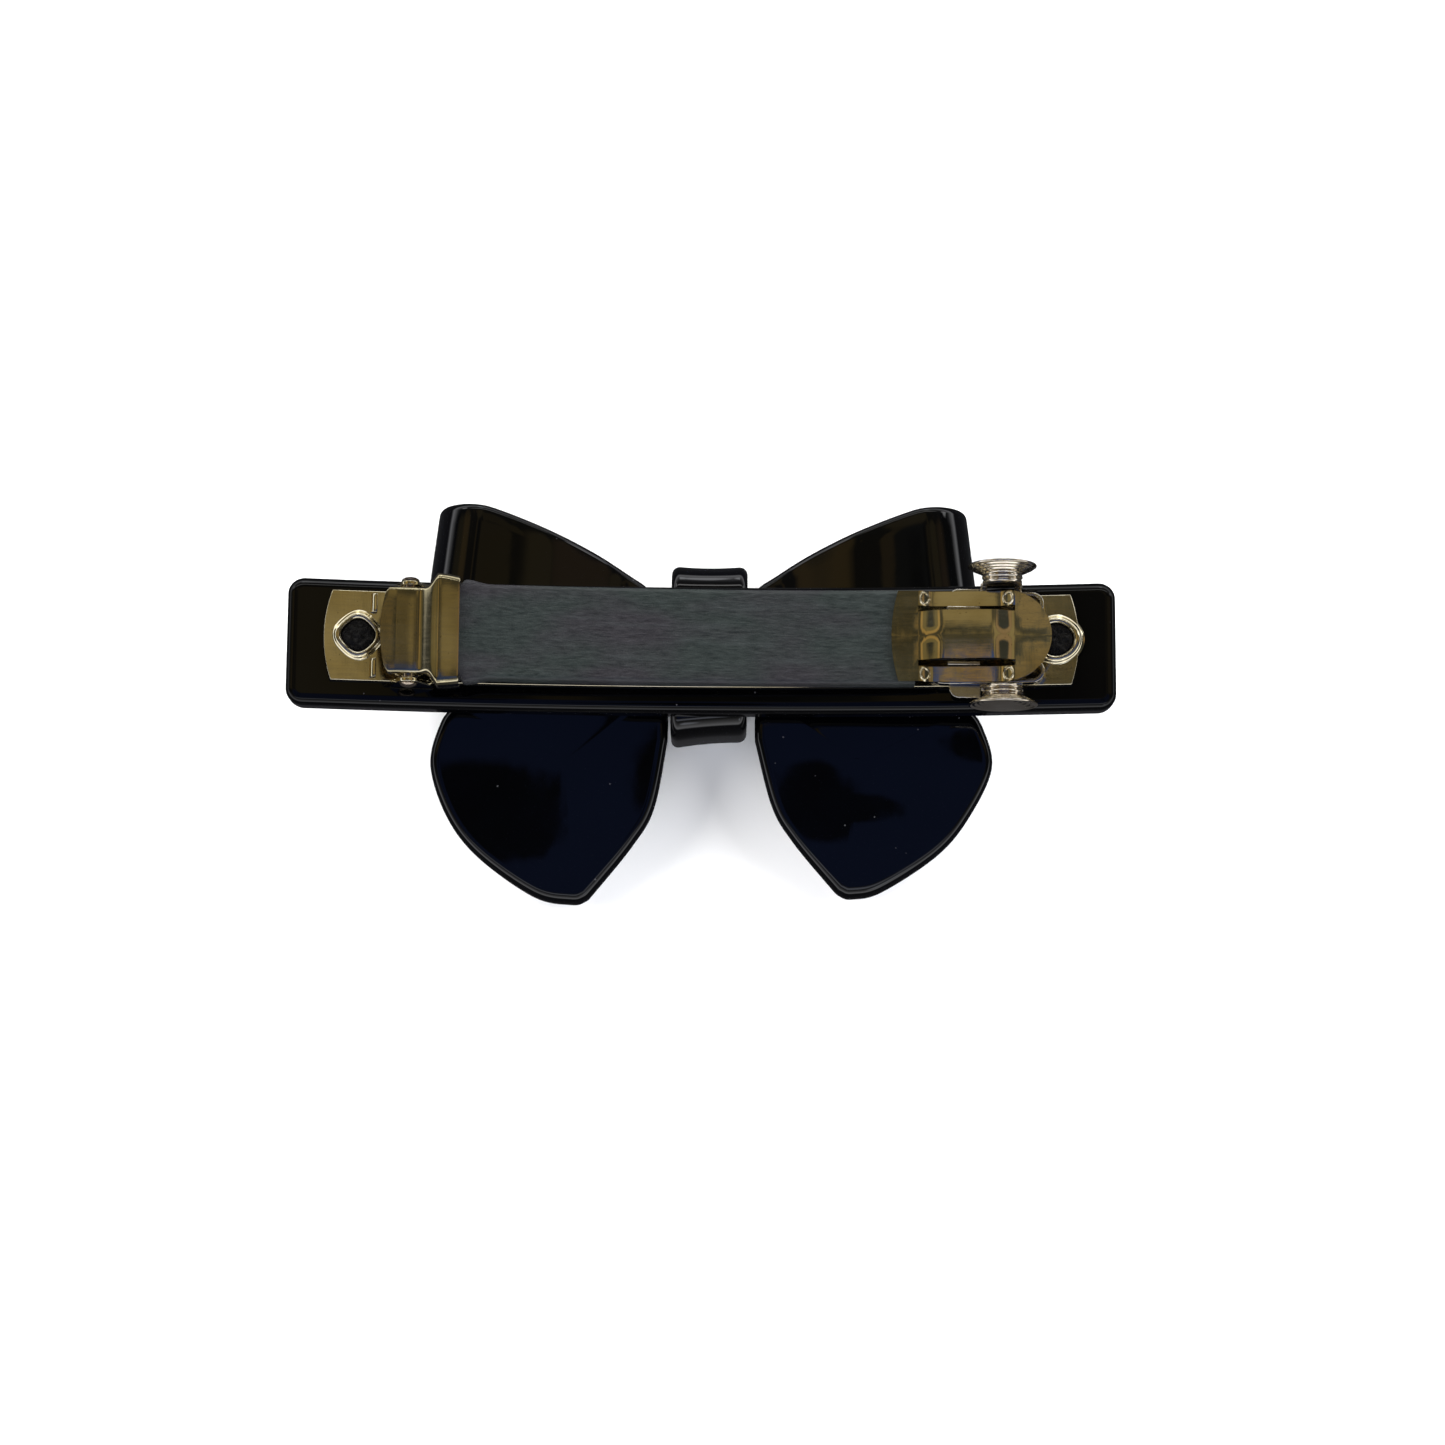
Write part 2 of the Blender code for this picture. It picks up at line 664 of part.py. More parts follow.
def make_hinge_yoke():
    """The yoke over the pin, its cheeks, and the ferrule that grips the arm's end."""
    base = plate_top(PIN_X)
    yoke_top = base + YOKE_TOP
    cheek = YOKE_TOP - PIN_HEIGHT + CHEEK_BELOW_PIN
    ferrule_top = arm_top(FERRULE_LEFT_X) + FERRULE_OVER_ARM
    ferrule_end = arm_top(FERRULE_RIGHT_X) + FERRULE_OVER_ARM - 0.05 * MM
    half = YOKE_HALF_WIDTH
    ferrule = FERRULE_HALF_WIDTH
    bend = 0.4 * MM
    rows = [
        channel_row(YOKE_LEFT_X, half - 0.6 * MM, yoke_top, 0.7 * MM, bend),
        channel_row(YOKE_LEFT_X + 0.8 * MM, half, yoke_top, 0.9 * MM, bend),
        channel_row(PIN_X - CHEEK_HALF_LENGTH - 0.3 * MM, half, yoke_top, 1.3 * MM, bend),
        channel_row(PIN_X - CHEEK_HALF_LENGTH, half, yoke_top, cheek, bend),
        channel_row(PIN_X + CHEEK_HALF_LENGTH, half, yoke_top - 0.1 * MM, cheek - 0.1 * MM, bend),
        channel_row(PIN_X + CHEEK_HALF_LENGTH + 0.5 * MM, half, yoke_top - 0.1 * MM, 1.5 * MM, bend),
        channel_row(FERRULE_LEFT_X - 0.5 * MM, half + 0.1 * MM, yoke_top + 0.1 * MM, 1.6 * MM, bend),
        channel_row(FERRULE_LEFT_X + 0.2 * MM, ferrule, ferrule_top, 2.6 * MM, 2 * bend, 0.1 * MM),
        channel_row(FERRULE_RIGHT_X, ferrule - 0.2 * MM, ferrule_end, 2.7 * MM, 2 * bend, 0.2 * MM),
    ]
    bm = surface(rows)
    part = add_part("hinge_yoke", bm, "nickel")
    thicken(part, CHEEK_THICKNESS)
    boolean(part, add_cutter("yoke_pin_hole", make_pin_hole()), "DIFFERENCE")
    return part


# ---------------------------------------------------------------- arm and tension bar


def make_arm():
    """A channel that is a little wider just outside the ferrule."""
    start, widest, end = ARM_FLARE_X
    rows = []
    for x in [ARM_LEFT_X, start, widest, (widest + end) / 2, end] + steps(-19 * MM, ARM_RIGHT_X, 12):
        flare = ARM_FLARE * max(0.0, min((x - start) / (widest - start), (end - x) / (end - widest)))
        rows.append(channel_row(x, ARM_HALF_WIDTH + flare, arm_top(x), ARM_FLANGE, 0.8 * MM))
    bm = surface(rows)
    part = add_part("arm", bm, "slate")
    thicken(part, ARM_THICKNESS)
    return part


def make_tension_bar():
    """A leaf spring that bows up from the plate towards the arm."""
    rows = []
    for x in steps(SPRING_LEFT_X, SPRING_RIGHT_X, 15):
        along = (x - SPRING_LEFT_X) / (SPRING_RIGHT_X - SPRING_LEFT_X)
        bow = SPRING_RISE * math.sin(math.pi * along) ** 1.3
        top = plate_top(x) + 0.15 * MM + SPRING_THICKNESS + bow
        rows.append([(x, CLASP_Y + y, top) for y in (-SPRING_HALF_WIDTH, SPRING_HALF_WIDTH)])
    bm = surface(rows)
    part = add_part("tension_bar", bm, "nickel")
    thicken(part, SPRING_THICKNESS)
    return part


# ---------------------------------------------------------------- catch


def cap_outline():
    """Round at the free end, gently curved at the arm's end."""
    half = CAP_HALF_WIDTH
    bulge = 0.7 * MM
    radius = (half**2 + bulge**2) / (2 * bulge)
    sweep = math.degrees(math.asin(half / radius))
    left = arc((CAP_LEFT_X + radius, 0), radius, 180 - sweep, 180 + sweep, 7)
    right = arc((CAP_RIGHT_X - half, 0), half, -90, 90, 13)
    return left + right


def ramp(x):
    """0 at both ends of the slots, 1 along their middle."""
    inward = min(x - SLOT_LEFT_X, SLOT_RIGHT_X - x)
    return max(0.0, min(1.0, inward / RAMP))


def make_catch_cap():
    """A stamped plate with a raised bridge between two slots and a lowered rail outside each."""
    bm = prism(cap_outline(), "XY", -CAP_THICKNESS, 0)
    for side in (-1, 1):
        low_y, high_y = sorted((side * BRIDGE_HALF_WIDTH, side * SLOT_OUTER_Y))
        slot = box((SLOT_LEFT_X, low_y, -MM), (SLOT_RIGHT_X, high_y, MM))
        bm = cut_mesh(bm, slot)
    places = [SLOT_LEFT_X, SLOT_LEFT_X + RAMP, SLOT_RIGHT_X - RAMP, SLOT_RIGHT_X]
    slice_mesh(bm, 0, places + inner_steps(SLOT_LEFT_X + RAMP, SLOT_RIGHT_X - RAMP, 2))
    for vertex in bm.verts:
        x, y, _ = vertex.co
        height = cap_top(x)
        if abs(y) < BRIDGE_HALF_WIDTH + 0.05 * MM:
            height += BRIDGE_RISE * ramp(x)
        elif abs(y) > SLOT_OUTER_Y - 0.05 * MM:
            height -= RAIL_DROP * ramp(x)
        vertex.co.z += height
    move_to_clasp(bm)
    return add_part("catch_cap", bm, "nickel")


def cut_mesh(bm, cutter_bm):
    """The mesh with the cutter's shape taken out, for meshes that bend afterwards."""
    blank = add_cutter("blank", bm)
    cutter = add_cutter("blank_cutter", cutter_bm)
    boolean(blank, cutter, "DIFFERENCE")
    graph = bpy.context.evaluated_depsgraph_get()
    result = bmesh.new()
    result.from_mesh(blank.evaluated_get(graph).to_mesh())
    for helper in (blank, cutter):
        bpy.data.objects.remove(helper, do_unlink=True)
    return result


def make_catch_bracket():
    """The strip on the plate that holds both legs' curled ends."""
    rows = []
    half = BRACKET_HALF_WIDTH
    for x in steps(*BRACKET_X, 5):
        rows.append([(x, CLASP_Y + y, plate_top(x) + BRACKET_TOP) for y in (-half, half)])
    bm = surface(rows)
    part = add_part("catch_bracket", bm, "nickel")
    thicken(part, BRACKET_THICKNESS)
    base = plate_top(LUG_X[1])
    lug = box((LUG_X[0], -half, base + LUG_Z[0]), (LUG_X[1], half, base + LUG_Z[1]))
    move_to_clasp(lug)
    boolean(part, add_cutter("bracket_lug", lug), "UNION")
    return part


def leg_plan():
    """The leg's strip seen from above: straight beside the rail, then curled back round its pivot."""
    straight_y = LEG_PIVOT_Y + CURL_RADIUS
    line = [(LEG_LEFT_X, straight_y - 0.35 * MM), (LEG_LEFT_X + 1.2 * MM, straight_y)]
    line += [(30 * MM, straight_y)]
    line += arc((LEG_PIVOT_X, LEG_PIVOT_Y), CURL_RADIUS, 90, -110, 11)
    return line


def make_leg(name, side):
    rows = []
    for x, y in leg_plan():
        rows.append([(x, y, plate_top(x) + z) for z in (LEG_LOW, LEG_HIGH)])
    bm = surface(rows)
    if side < 0:
        mirrored_y(bm)
    move_to_clasp(bm)
    part = add_part(name, bm, "nickel")
    thicken(part, LEG_THICKNESS, 0)
    hook_top = cap_top(HOOK_X[0]) + HOOK_OVER_CAP
    tab_low, tab_high = [plate_top(sum(HOOK_X) / 2) + z for z in HOOK_TAB_Z]
    wing_low, wing_high = [plate_top(WING_X[1] + 1.4 * MM) + z for z in WING_Z]
    stem_low, stem_high = [plate_top(STEM_X[1]) + z for z in STEM_Z]
    strip_y = LEG_PIVOT_Y + CURL_RADIUS
    pieces = {
        "hook_tab": ((HOOK_X[0], HOOK_Y[0], tab_low), (HOOK_X[1], strip_y, tab_high)),
        "hook": ((HOOK_X[0], HOOK_Y[0], tab_low), (HOOK_X[1], HOOK_Y[1], hook_top)),
        "wing": ((WING_X[0], strip_y, wing_low), (WING_X[1], WING_OUTER_Y[side], wing_high)),
        "stem": ((STEM_X[0], strip_y, stem_low), (STEM_X[1], STEM_OUTER_Y, stem_high)),
    }
    for label, (low, high) in pieces.items():
        piece = box(low, high)
        if side < 0:
            mirrored_y(piece)
        move_to_clasp(piece)
        boolean(part, add_cutter(f"{name}_{label}", piece), "UNION")
    return part


def make_pinch_disc(name, side):
    """A turned finger pad: ringed neck, flared saucer and a dished outer face."""
    profile = in_mm(DISC_FACE + DISC_FLANK + DISC_NECK)
    place = (DISC_X, CLASP_Y + side * NECK_INNER_Y, plate_top(DISC_X) + DISC_HEIGHT)
    return turned(name, profile, place, 28, "nickel", flip=side < 0)


def add_joint_empties():
    """Empties on the joint axes: the arm's pin and each leg's curl."""
    places = {
        "arm_joint": (PIN_X, CLASP_Y, plate_top(PIN_X) + PIN_HEIGHT),
        "leg_upper_joint": (LEG_PIVOT_X, CLASP_Y + LEG_PIVOT_Y, plate_top(LEG_PIVOT_X) + MM),
        "leg_lower_joint": (LEG_PIVOT_X, CLASP_Y - LEG_PIVOT_Y, plate_top(LEG_PIVOT_X) + MM),
    }
    for name, place in places.items():
        empty = bpy.data.objects.new(name, None)
        empty.location = place
        PARTS.objects.link(empty)
    bpy.context.view_layer.update()
    riders = {
        "arm_joint": ("arm", "hinge_yoke", "catch_cap"),
        "leg_upper_joint": ("leg_upper", "pinch_disc_upper"),
        "leg_lower_joint": ("leg_lower", "pinch_disc_lower"),
    }
    for name, parts in riders.items():
        empty = bpy.data.objects[name]
        for part in parts:
            rider = bpy.data.objects[part]
            rider.parent = empty
            rider.matrix_parent_inverse = empty.matrix_world.inverted()


make_backing_bar()
make_loop("loop_left", -1)
make_loop("loop_right", 1)
make_tail("tail_left", -1, 0.45, 1.015, 0.0)
make_tail("tail_right", 1, 0.0, 0.97, 0.6)
make_knot_band()
make_base_plate()
make_stake("stake_left", COLLAR_X[0])
make_stake("stake_right", COLLAR_X[1])
make_hinge_pin()
make_hinge_yoke()
make_arm()
make_tension_bar()
make_catch_cap()
make_catch_bracket()
make_leg("leg_upper", 1)
make_leg("leg_lower", -1)
make_pinch_disc("pinch_disc_upper", 1)
make_pinch_disc("pinch_disc_lower", -1)
add_joint_empties()
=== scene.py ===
"""Looks of the bow barrette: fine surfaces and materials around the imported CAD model.

Lengths are in metres, in the CAD model's frame: X from the hinge to the catch, Z out of the clasp.
"""

import json
import math

import bmesh
import bpy
from mathutils import Matrix, Vector, noise


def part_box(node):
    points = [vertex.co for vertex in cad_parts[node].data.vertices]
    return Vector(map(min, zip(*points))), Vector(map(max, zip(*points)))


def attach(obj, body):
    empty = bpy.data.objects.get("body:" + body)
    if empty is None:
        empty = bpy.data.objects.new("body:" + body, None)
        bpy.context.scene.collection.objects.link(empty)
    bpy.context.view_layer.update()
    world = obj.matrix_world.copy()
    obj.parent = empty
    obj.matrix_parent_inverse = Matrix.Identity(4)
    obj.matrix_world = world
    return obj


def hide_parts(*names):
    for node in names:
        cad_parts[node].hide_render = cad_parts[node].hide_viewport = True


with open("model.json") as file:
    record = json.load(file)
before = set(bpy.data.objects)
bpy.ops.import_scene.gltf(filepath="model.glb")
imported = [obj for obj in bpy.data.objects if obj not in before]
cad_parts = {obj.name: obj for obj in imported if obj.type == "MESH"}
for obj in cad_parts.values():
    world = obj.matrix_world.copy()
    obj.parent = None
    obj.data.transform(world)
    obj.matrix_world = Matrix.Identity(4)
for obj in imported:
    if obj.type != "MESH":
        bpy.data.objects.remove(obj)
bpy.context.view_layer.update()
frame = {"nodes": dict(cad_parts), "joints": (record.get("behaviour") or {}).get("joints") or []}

MM = 0.001
JOINTS = {joint["name"]: joint for joint in frame["joints"]}


def box_of(node):
    low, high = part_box(node)
    return Vector(low), Vector(high)


# ---------------------------------------------------------------- sizes read from the frame

BAR_LOW, BAR_HIGH = box_of("backing_bar")
BAR_Y = (BAR_LOW.y + BAR_HIGH.y) / 2
BAR_THICKNESS = 4.0 * MM
BAR_CORNER = 1.8 * MM
BAR_FILLET = 1.2 * MM
BEND_RADIUS = 245 * MM

PLATE_THICKNESS = 0.6 * MM
PLATE_TOP = box_of("base_plate")[0].z + PLATE_THICKNESS
PLATE_HALF_WIDTH = 4.85 * MM
PLATE_HALF_LENGTH = 40 * MM
PLATE_END_BULGE = 0.8 * MM
EAR_INNER_Y = 4.95 * MM
EAR_THICKNESS = 0.45 * MM

PIN = Vector(JOINTS["arm_hinge"]["pos_m"])
CLASP_Y = PIN.y
LEG_PIVOT = Vector(JOINTS["pinch_upper"]["pos_m"]) - Vector((0, CLASP_Y, 0))

ARM_LEFT = box_of("arm")[0].x
ARM_WIDTH = 10.2 * MM
ARM_HEIGHT = 3.8 * MM
ARM_TILT = -0.037
ARM_FLANGE = 1.9 * MM
CAP_LOW, CAP_HIGH = box_of("catch_cap")
CAP_THICKNESS = 0.5 * MM
CAP_OVER_ARM = 0.6 * MM

KNOT_LOW, KNOT_HIGH = box_of("knot_band")
LOOP_OUTER_X = box_of("loop_right")[1].x
TAIL_OUTER_X = box_of("tail_right")[1].x


def rise(x):
    """Height gained by the bent bar at X, over its centre."""
    return BEND_RADIUS - math.sqrt(BEND_RADIUS**2 - x**2)


def plate_top(x):
    return PLATE_TOP + rise(x)


def arm_top(x):
    return plate_top(x) + ARM_HEIGHT + ARM_TILT * x


def cap_top(x):
    return arm_top(x) + CAP_OVER_ARM


def in_mm(points):
    return [(first * MM, second * MM) for first, second in points]


def steps(start, end, count):
    return [start + (end - start) * index / (count - 1) for index in range(count)]


def turns(count):
    """Evenly spaced angles round a full turn."""
    return [2 * math.pi * turn / count for turn in range(count)]


def smooth_step(value):
    value = max(0.0, min(1.0, value))
    return value * value * (3 - 2 * value)


def arc(centre, radius, start, end, count):
    """Points on a circle, with angles in degrees."""
    angles = [math.radians(angle) for angle in steps(start, end, count)]
    return [
        (centre[0] + radius * math.cos(angle), centre[1] + radius * math.sin(angle)) for angle in angles
    ]


def smooth_curve(points, per_span):
    """A smooth line through the points, by Catmull-Rom spans."""
    line = []
    padded = [points[0], *points, points[-1]]
    for index in range(1, len(padded) - 2):
        before, start, end, after = [Vector(point) for point in padded[index - 1:index + 3]]
        for step in range(per_span):
            t = step / per_span
            line.append(
                0.5 * (
                    2 * start + (end - before) * t
                    + (2 * before - 5 * start + 4 * end - after) * t**2
                    + (3 * start - before - 3 * end + after) * t**3
                )
            )
    line.append(Vector(points[-1]))
    return line


# ---------------------------------------------------------------- materials

MIX_COLORS = (6, 7)
MIX_RESULT = 2


class Nodes:
    """Shortcuts for a node tree. A value is either a socket to link or a constant."""

    def __init__(self, tree):
        self.tree = tree

    def add(self, kind, **settings):
        node = self.tree.nodes.new(kind)
        for key, value in settings.items():
            setattr(node, key, value)
        return node

    def feed(self, socket, value):
        if isinstance(value, bpy.types.NodeSocket):
            self.tree.links.new(value, socket)
        else:
            socket.default_value = value

    def fill(self, node, **values):
        """Feeds a node's inputs by name, with _ for a space."""
        for key, value in values.items():
            self.feed(node.inputs[key.replace("_", " ")], value)
        return node

    def compute(self, kind, output, operation, values):
        node = self.add(kind, operation=operation)
        for socket, value in zip(node.inputs, values):
            self.feed(socket, value)
        return node.outputs[output]

    def number(self, operation, *values):
        return self.compute("ShaderNodeMath", "Value", operation, values)

    def vector(self, operation, *values, output="Vector"):
        return self.compute("ShaderNodeVectorMath", output, operation, values)

    def between(self, value, low, high, out_low=0, out_high=1, **settings):
        node = self.add("ShaderNodeMapRange", clamp=True, **settings)
        self.fill(node, Value=value, From_Min=low, From_Max=high, To_Min=out_low, To_Max=out_high)
        return node.outputs["Result"]

    def mix(self, factor, first, second):
        node = self.add("ShaderNodeMix", data_type="RGBA")
        self.fill(node, Factor=factor)
        for index, color in zip(MIX_COLORS, (first, second)):
            self.feed(node.inputs[index], (*color, 1) if isinstance(color, tuple) else color)
        return node.outputs[MIX_RESULT]

    def clouds(self, place, scale, detail, roughness=0.5):
        """Noise with features about 1/scale across."""
        node = self.add("ShaderNodeTexNoise")
        self.fill(node, Vector=place, Scale=scale, Detail=detail, Roughness=roughness)
        return node.outputs["Fac"]


class Looks(Nodes):
    """A procedural material round one Principled shader. Its patterns are in metres."""

    def __init__(self, name):
        self.material = bpy.data.materials.new(name)
        self.material.use_nodes = True
        super().__init__(self.material.node_tree)
        self.shader = self.tree.nodes["Principled BSDF"]
        self.place = self.add("ShaderNodeTexCoord").outputs["Object"]

    def set(self, **values):
        self.fill(self.shader, **values)

    def grain(self, scale, detail=4, roughness=0.5, stretch=(1, 1, 1)):
        """Noise that can be squeezed along each axis."""
        mapping = self.fill(self.add("ShaderNodeMapping"), Vector=self.place, Scale=stretch)
        return self.clouds(mapping.outputs["Vector"], scale, detail, roughness)

    def spots(self, scale, size):
        """1 inside small round specks, 0 elsewhere."""
        texture = self.fill(self.add("ShaderNodeTexVoronoi"), Vector=self.place, Scale=scale)
        return self.between(texture.outputs["Distance"], size, size * 0.5)

    def bump(self, *layers):
        """Layers are (height output, distance in metres)."""
        normal = None
        for height, distance in layers:
            node = self.fill(self.add("ShaderNodeBump"), Strength=1, Distance=distance, Height=height)
            if normal:
                self.fill(node, Normal=normal)
            normal = node.outputs["Normal"]
        self.set(Normal=normal)


ACETATE_IOR = 1.49


def acetate(name, tint, wave, shine):
    """Hand-polished black acetate: near black, a soft waviness, faint haze and a little dust."""
    look = Looks(name)
    deep = look.mix(look.between(look.grain(90, 3), 0.35, 0.65), (0.0004, 0.0004, 0.0005), tint)
    dust = look.spots(420, 0.05)
    haze = look.between(look.grain(700, 5, 0.6), 0.4, 0.75, 0.035, 0.075)
    look.set(Base_Color=look.mix(dust, deep, (0.05, 0.05, 0.055)), Roughness=haze)
    look.set(IOR=ACETATE_IOR, Specular_IOR_Level=shine)
    look.bump((look.grain(130, 2), wave), (look.grain(1400, 3, 0.6), 0.0000006))
    return look.material


def melted_acetate():
    """Acetate that was melted over: lumpy, partly dull."""
    look = Looks("melted_acetate")
    lumps = look.grain(1500, 6, 0.65)
    base = look.mix(look.between(lumps, 0.35, 0.7), (0.0006, 0.0006, 0.0007), (0.0045, 0.0042, 0.0040))
    look.set(Base_Color=base, Roughness=look.between(lumps, 0.3, 0.7, 0.12, 0.45))
    look.set(IOR=ACETATE_IOR, Specular_IOR_Level=0.3)
    look.bump((lumps, 0.00022), (look.grain(5200, 4), 0.00003))
    return look.material


def plated(name, light, dark, rough, wave):
    """Bright nickel plate: warm and cool areas, press marks, fine scratches and darker pits."""
    scratch = 0.0000035
    look = Looks(name)
    base = look.mix(look.between(look.grain(160, 3), 0.38, 0.62), light, dark)
    pits = look.spots(1500, 0.10)
    lines = look.grain(260, 5, 0.7, (1.0, 14.0, 1.0))
    cross = look.grain(420, 4, 0.6, (9.0, 1.0, 1.0))
    look.set(Base_Color=look.mix(pits, base, tuple(channel * 0.45 for channel in dark)))
    look.set(Roughness=look.between(lines, 0.3, 0.75, rough * 0.6, rough * 1.7), Metallic=1.0)
    look.bump((look.grain(240, 2), wave), (lines, scratch), (cross, scratch * 0.6))
    return look.material


def coated_steel():
    """The arm's dark satin coat, with fine lengthwise grain and lighter rubbed streaks."""
    look = Looks("coated_steel")
    fibres = look.grain(620, 8, 0.74, (1.0, 6.5, 6.5))
    streaks = look.grain(90, 5, 0.6, (1.0, 6.0, 1.0))
    tints = look.between(look.grain(110, 2, 0.5, (0.6, 1.6, 1.0)), 0.42, 0.6)
    low = look.mix(tints, (0.0066, 0.0094, 0.0092), (0.0084, 0.0080, 0.0098))
    high = look.mix(tints, (0.0230, 0.0290, 0.0275), (0.0255, 0.0245, 0.0280))
    base = look.mix(look.between(fibres, 0.34, 0.68), low, high)
    rubbed = look.mix(look.between(streaks, 0.55, 0.75, 0, 0.7), base, (0.030, 0.035, 0.036))
    look.set(Base_Color=rubbed, Roughness=look.between(fibres, 0.3, 0.75, 0.36, 0.58))
    look.set(Metallic=0.0, Specular_IOR_Level=0.45)
    look.bump((fibres, 0.000060), (look.grain(2600, 3), 0.000004))
    return look.material


def white_card():
    """The table's pale card, faintly uneven."""
    look = Looks("white_card")
    look.set(Base_Color=look.mix(look.grain(40, 3), (0.93, 0.93, 0.935), (0.95, 0.95, 0.95)))
    look.set(Roughness=0.85, Specular_IOR_Level=0.2)
    return look.material


BAR_LOOK = acetate("bar_acetate", (0.0008, 0.0008, 0.0009), 0.00001, 0.30)
BOW_LOOK = acetate("bow_acetate", (0.0005, 0.0006, 0.0011), 0.00003, 0.45)
MELTED_LOOK = melted_acetate()
PLATE_LOOK = plated("champagne_plate", (0.86, 0.79, 0.60), (0.70, 0.62, 0.42), 0.10, 0.00004)
CAP_LOOK = plated("cap_plate", (0.80, 0.74, 0.58), (0.62, 0.54, 0.36), 0.09, 0.00006)
YOKE_LOOK = plated("dull_plate", (0.62, 0.56, 0.40), (0.46, 0.40, 0.25), 0.13, 0.000015)
DISC_LOOK = plated("disc_plate", (0.84, 0.78, 0.68), (0.66, 0.58, 0.46), 0.12, 0.000006)
SPRING_LOOK = plated("spring_plate", (0.78, 0.74, 0.64), (0.58, 0.52, 0.42), 0.16, 0.000008)
PIN_LOOK = plated("pin_plate", (0.52, 0.44, 0.36), (0.34, 0.27, 0.21), 0.22, 0.00001)
ARM_LOOK = coated_steel()
FLOOR_LOOK = white_card()


# ---------------------------------------------------------------- mesh helpers


def link_mesh(name, bm):
    """A new object in the scene, which takes the mesh over."""
    mesh = bpy.data.meshes.new(name)
    bm.to_mesh(mesh)
    bm.free()
    piece = bpy.data.objects.new(name, mesh)
    bpy.context.scene.collection.objects.link(piece)
    return piece


def new_piece(name, bm, look, body, replaces=(), sharp=35):
    """Turns a mesh into a finished piece that rides on a body. Edges over the sharp angle stay crisp."""
    bmesh.ops.recalc_face_normals(bm, faces=bm.faces)
    piece = link_mesh(name, bm)
    piece.data.materials.append(look)
    piece.data.shade_smooth()
    piece.data.set_sharp_from_angle(angle=math.radians(sharp))
    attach(piece, body)
    if replaces:
        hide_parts(*replaces)
    return piece


def even_normals(piece):
    """Shades flat areas flat, beside rounded edges."""
    modifier = piece.modifiers.new("even normals", "WEIGHTED_NORMAL")
    modifier.keep_sharp = True


def soften(piece, width, segments=3, angle=32):
    """Rounds the edges over the angle."""
    modifier = piece.modifiers.new("soft edges", "BEVEL")
    modifier.width = width
    modifier.segments = segments
    modifier.limit_method = "ANGLE"
    modifier.angle_limit = math.radians(angle)
    modifier.use_clamp_overlap = True
    modifier.miter_outer = "MITER_ARC"
    even_normals(piece)


def thicken(piece, thickness, offset=-1.0):
    modifier = piece.modifiers.new("thickness", "SOLIDIFY")
    modifier.thickness = thickness
    modifier.offset = offset
    modifier.use_even_offset = True


def grid(rows, close_rows=False, close_columns=False, cap=False):
    """A mesh through rows of points, which can close either way or have its ends filled."""
    bm = bmesh.new()
    lines = [[bm.verts.new(point) for point in row] for row in rows]
    if cap:
        bm.faces.new(lines[0])
        bm.faces.new(list(reversed(lines[-1])))
    if close_rows:
        lines.append(lines[0])
    for first, second in zip(lines, lines[1:]):
        count = len(first)
        for index in range(count if close_columns else count - 1):
            after = (index + 1) % count
            bm.faces.new((first[index], first[after], second[after], second[index]))
    return bm


def prism(outline, plane, start, end):
    """Extrudes an outline in 'XY' or 'XZ' between two places on the third axis."""
    def point(first, second, third):
        return (first, second, third) if plane == "XY" else (first, third, second)

    bm = bmesh.new()
    low = [bm.verts.new(point(*pair, start)) for pair in outline]
    high = [bm.verts.new(point(*pair, end)) for pair in outline]
    bm.faces.new(low)
    bm.faces.new(list(reversed(high)))
    for index in range(len(outline)):
        after = (index + 1) % len(outline)
        bm.faces.new((low[index], low[after], high[after], high[index]))
    return bm


def box(low, high):
    size = [high[axis] - low[axis] for axis in range(3)]
    centre = [(high[axis] + low[axis]) / 2 for axis in range(3)]
    bm = bmesh.new()
    bmesh.ops.create_cube(bm, size=1, matrix=Matrix.Translation(centre) @ Matrix.Diagonal((*size, 1)))
    return bm


def slice_mesh(bm, axis, places):
    """Adds rows of vertices across an axis, so that the mesh can be bent."""
    normal = Vector([float(index == axis) for index in range(3)])
    for place in places:
        geometry = bm.verts[:] + bm.edges[:] + bm.faces[:]
        bmesh.ops.bisect_plane(bm, geom=geometry, plane_co=normal * place, plane_no=normal)


def raise_with_bar(bm):
    for vertex in bm.verts:
        vertex.co.z += rise(vertex.co.x)


def on_clasp(bm, side=1):
    """Shifts a mesh to the clasp's line, mirrored first for the lower side."""
    if side < 0:
        bmesh.ops.scale(bm, vec=(1, -1, 1), verts=bm.verts)
    bmesh.ops.translate(bm, verts=bm.verts, vec=(0, CLASP_Y, 0))
    return bm


def subtract(bm, cutters):
    """The mesh with the cutters' shapes taken out."""
    helpers = []
    for shape in [bm, *cutters]:
        bmesh.ops.recalc_face_normals(shape, faces=shape.faces)
        helpers.append(link_mesh("helper", shape))
    for cutter in helpers[1:]:
        modifier = helpers[0].modifiers.new("cut", "BOOLEAN")
        modifier.operation = "DIFFERENCE"
        modifier.object = cutter
    graph = bpy.context.evaluated_depsgraph_get()
    result = bmesh.new()
    result.from_mesh(helpers[0].evaluated_get(graph).to_mesh())
    for helper in helpers:
        bpy.data.objects.remove(helper, do_unlink=True)
    return result


def rounded_section(low, high, half, fillet, corner_steps, flat_steps):
    """A flat strip's cross-section as (along, off) points, with rounded corners."""
    section = [(along, -half) for along in steps(low + fillet, high - fillet, flat_steps)[:-1]]
    section += arc((high - fillet, -half + fillet), fillet, -90, 0, corner_steps)
    section += arc((high - fillet, half - fillet), fillet, 0, 90, corner_steps)
    section += [(along, half) for along in steps(high - fillet, low + fillet, flat_steps)[1:-1]]
    section += arc((low + fillet, half - fillet), fillet, 90, 180, corner_steps)
    section += arc((low + fillet, -half + fillet), fillet, 180, 270, corner_steps)[:-1]
    return section


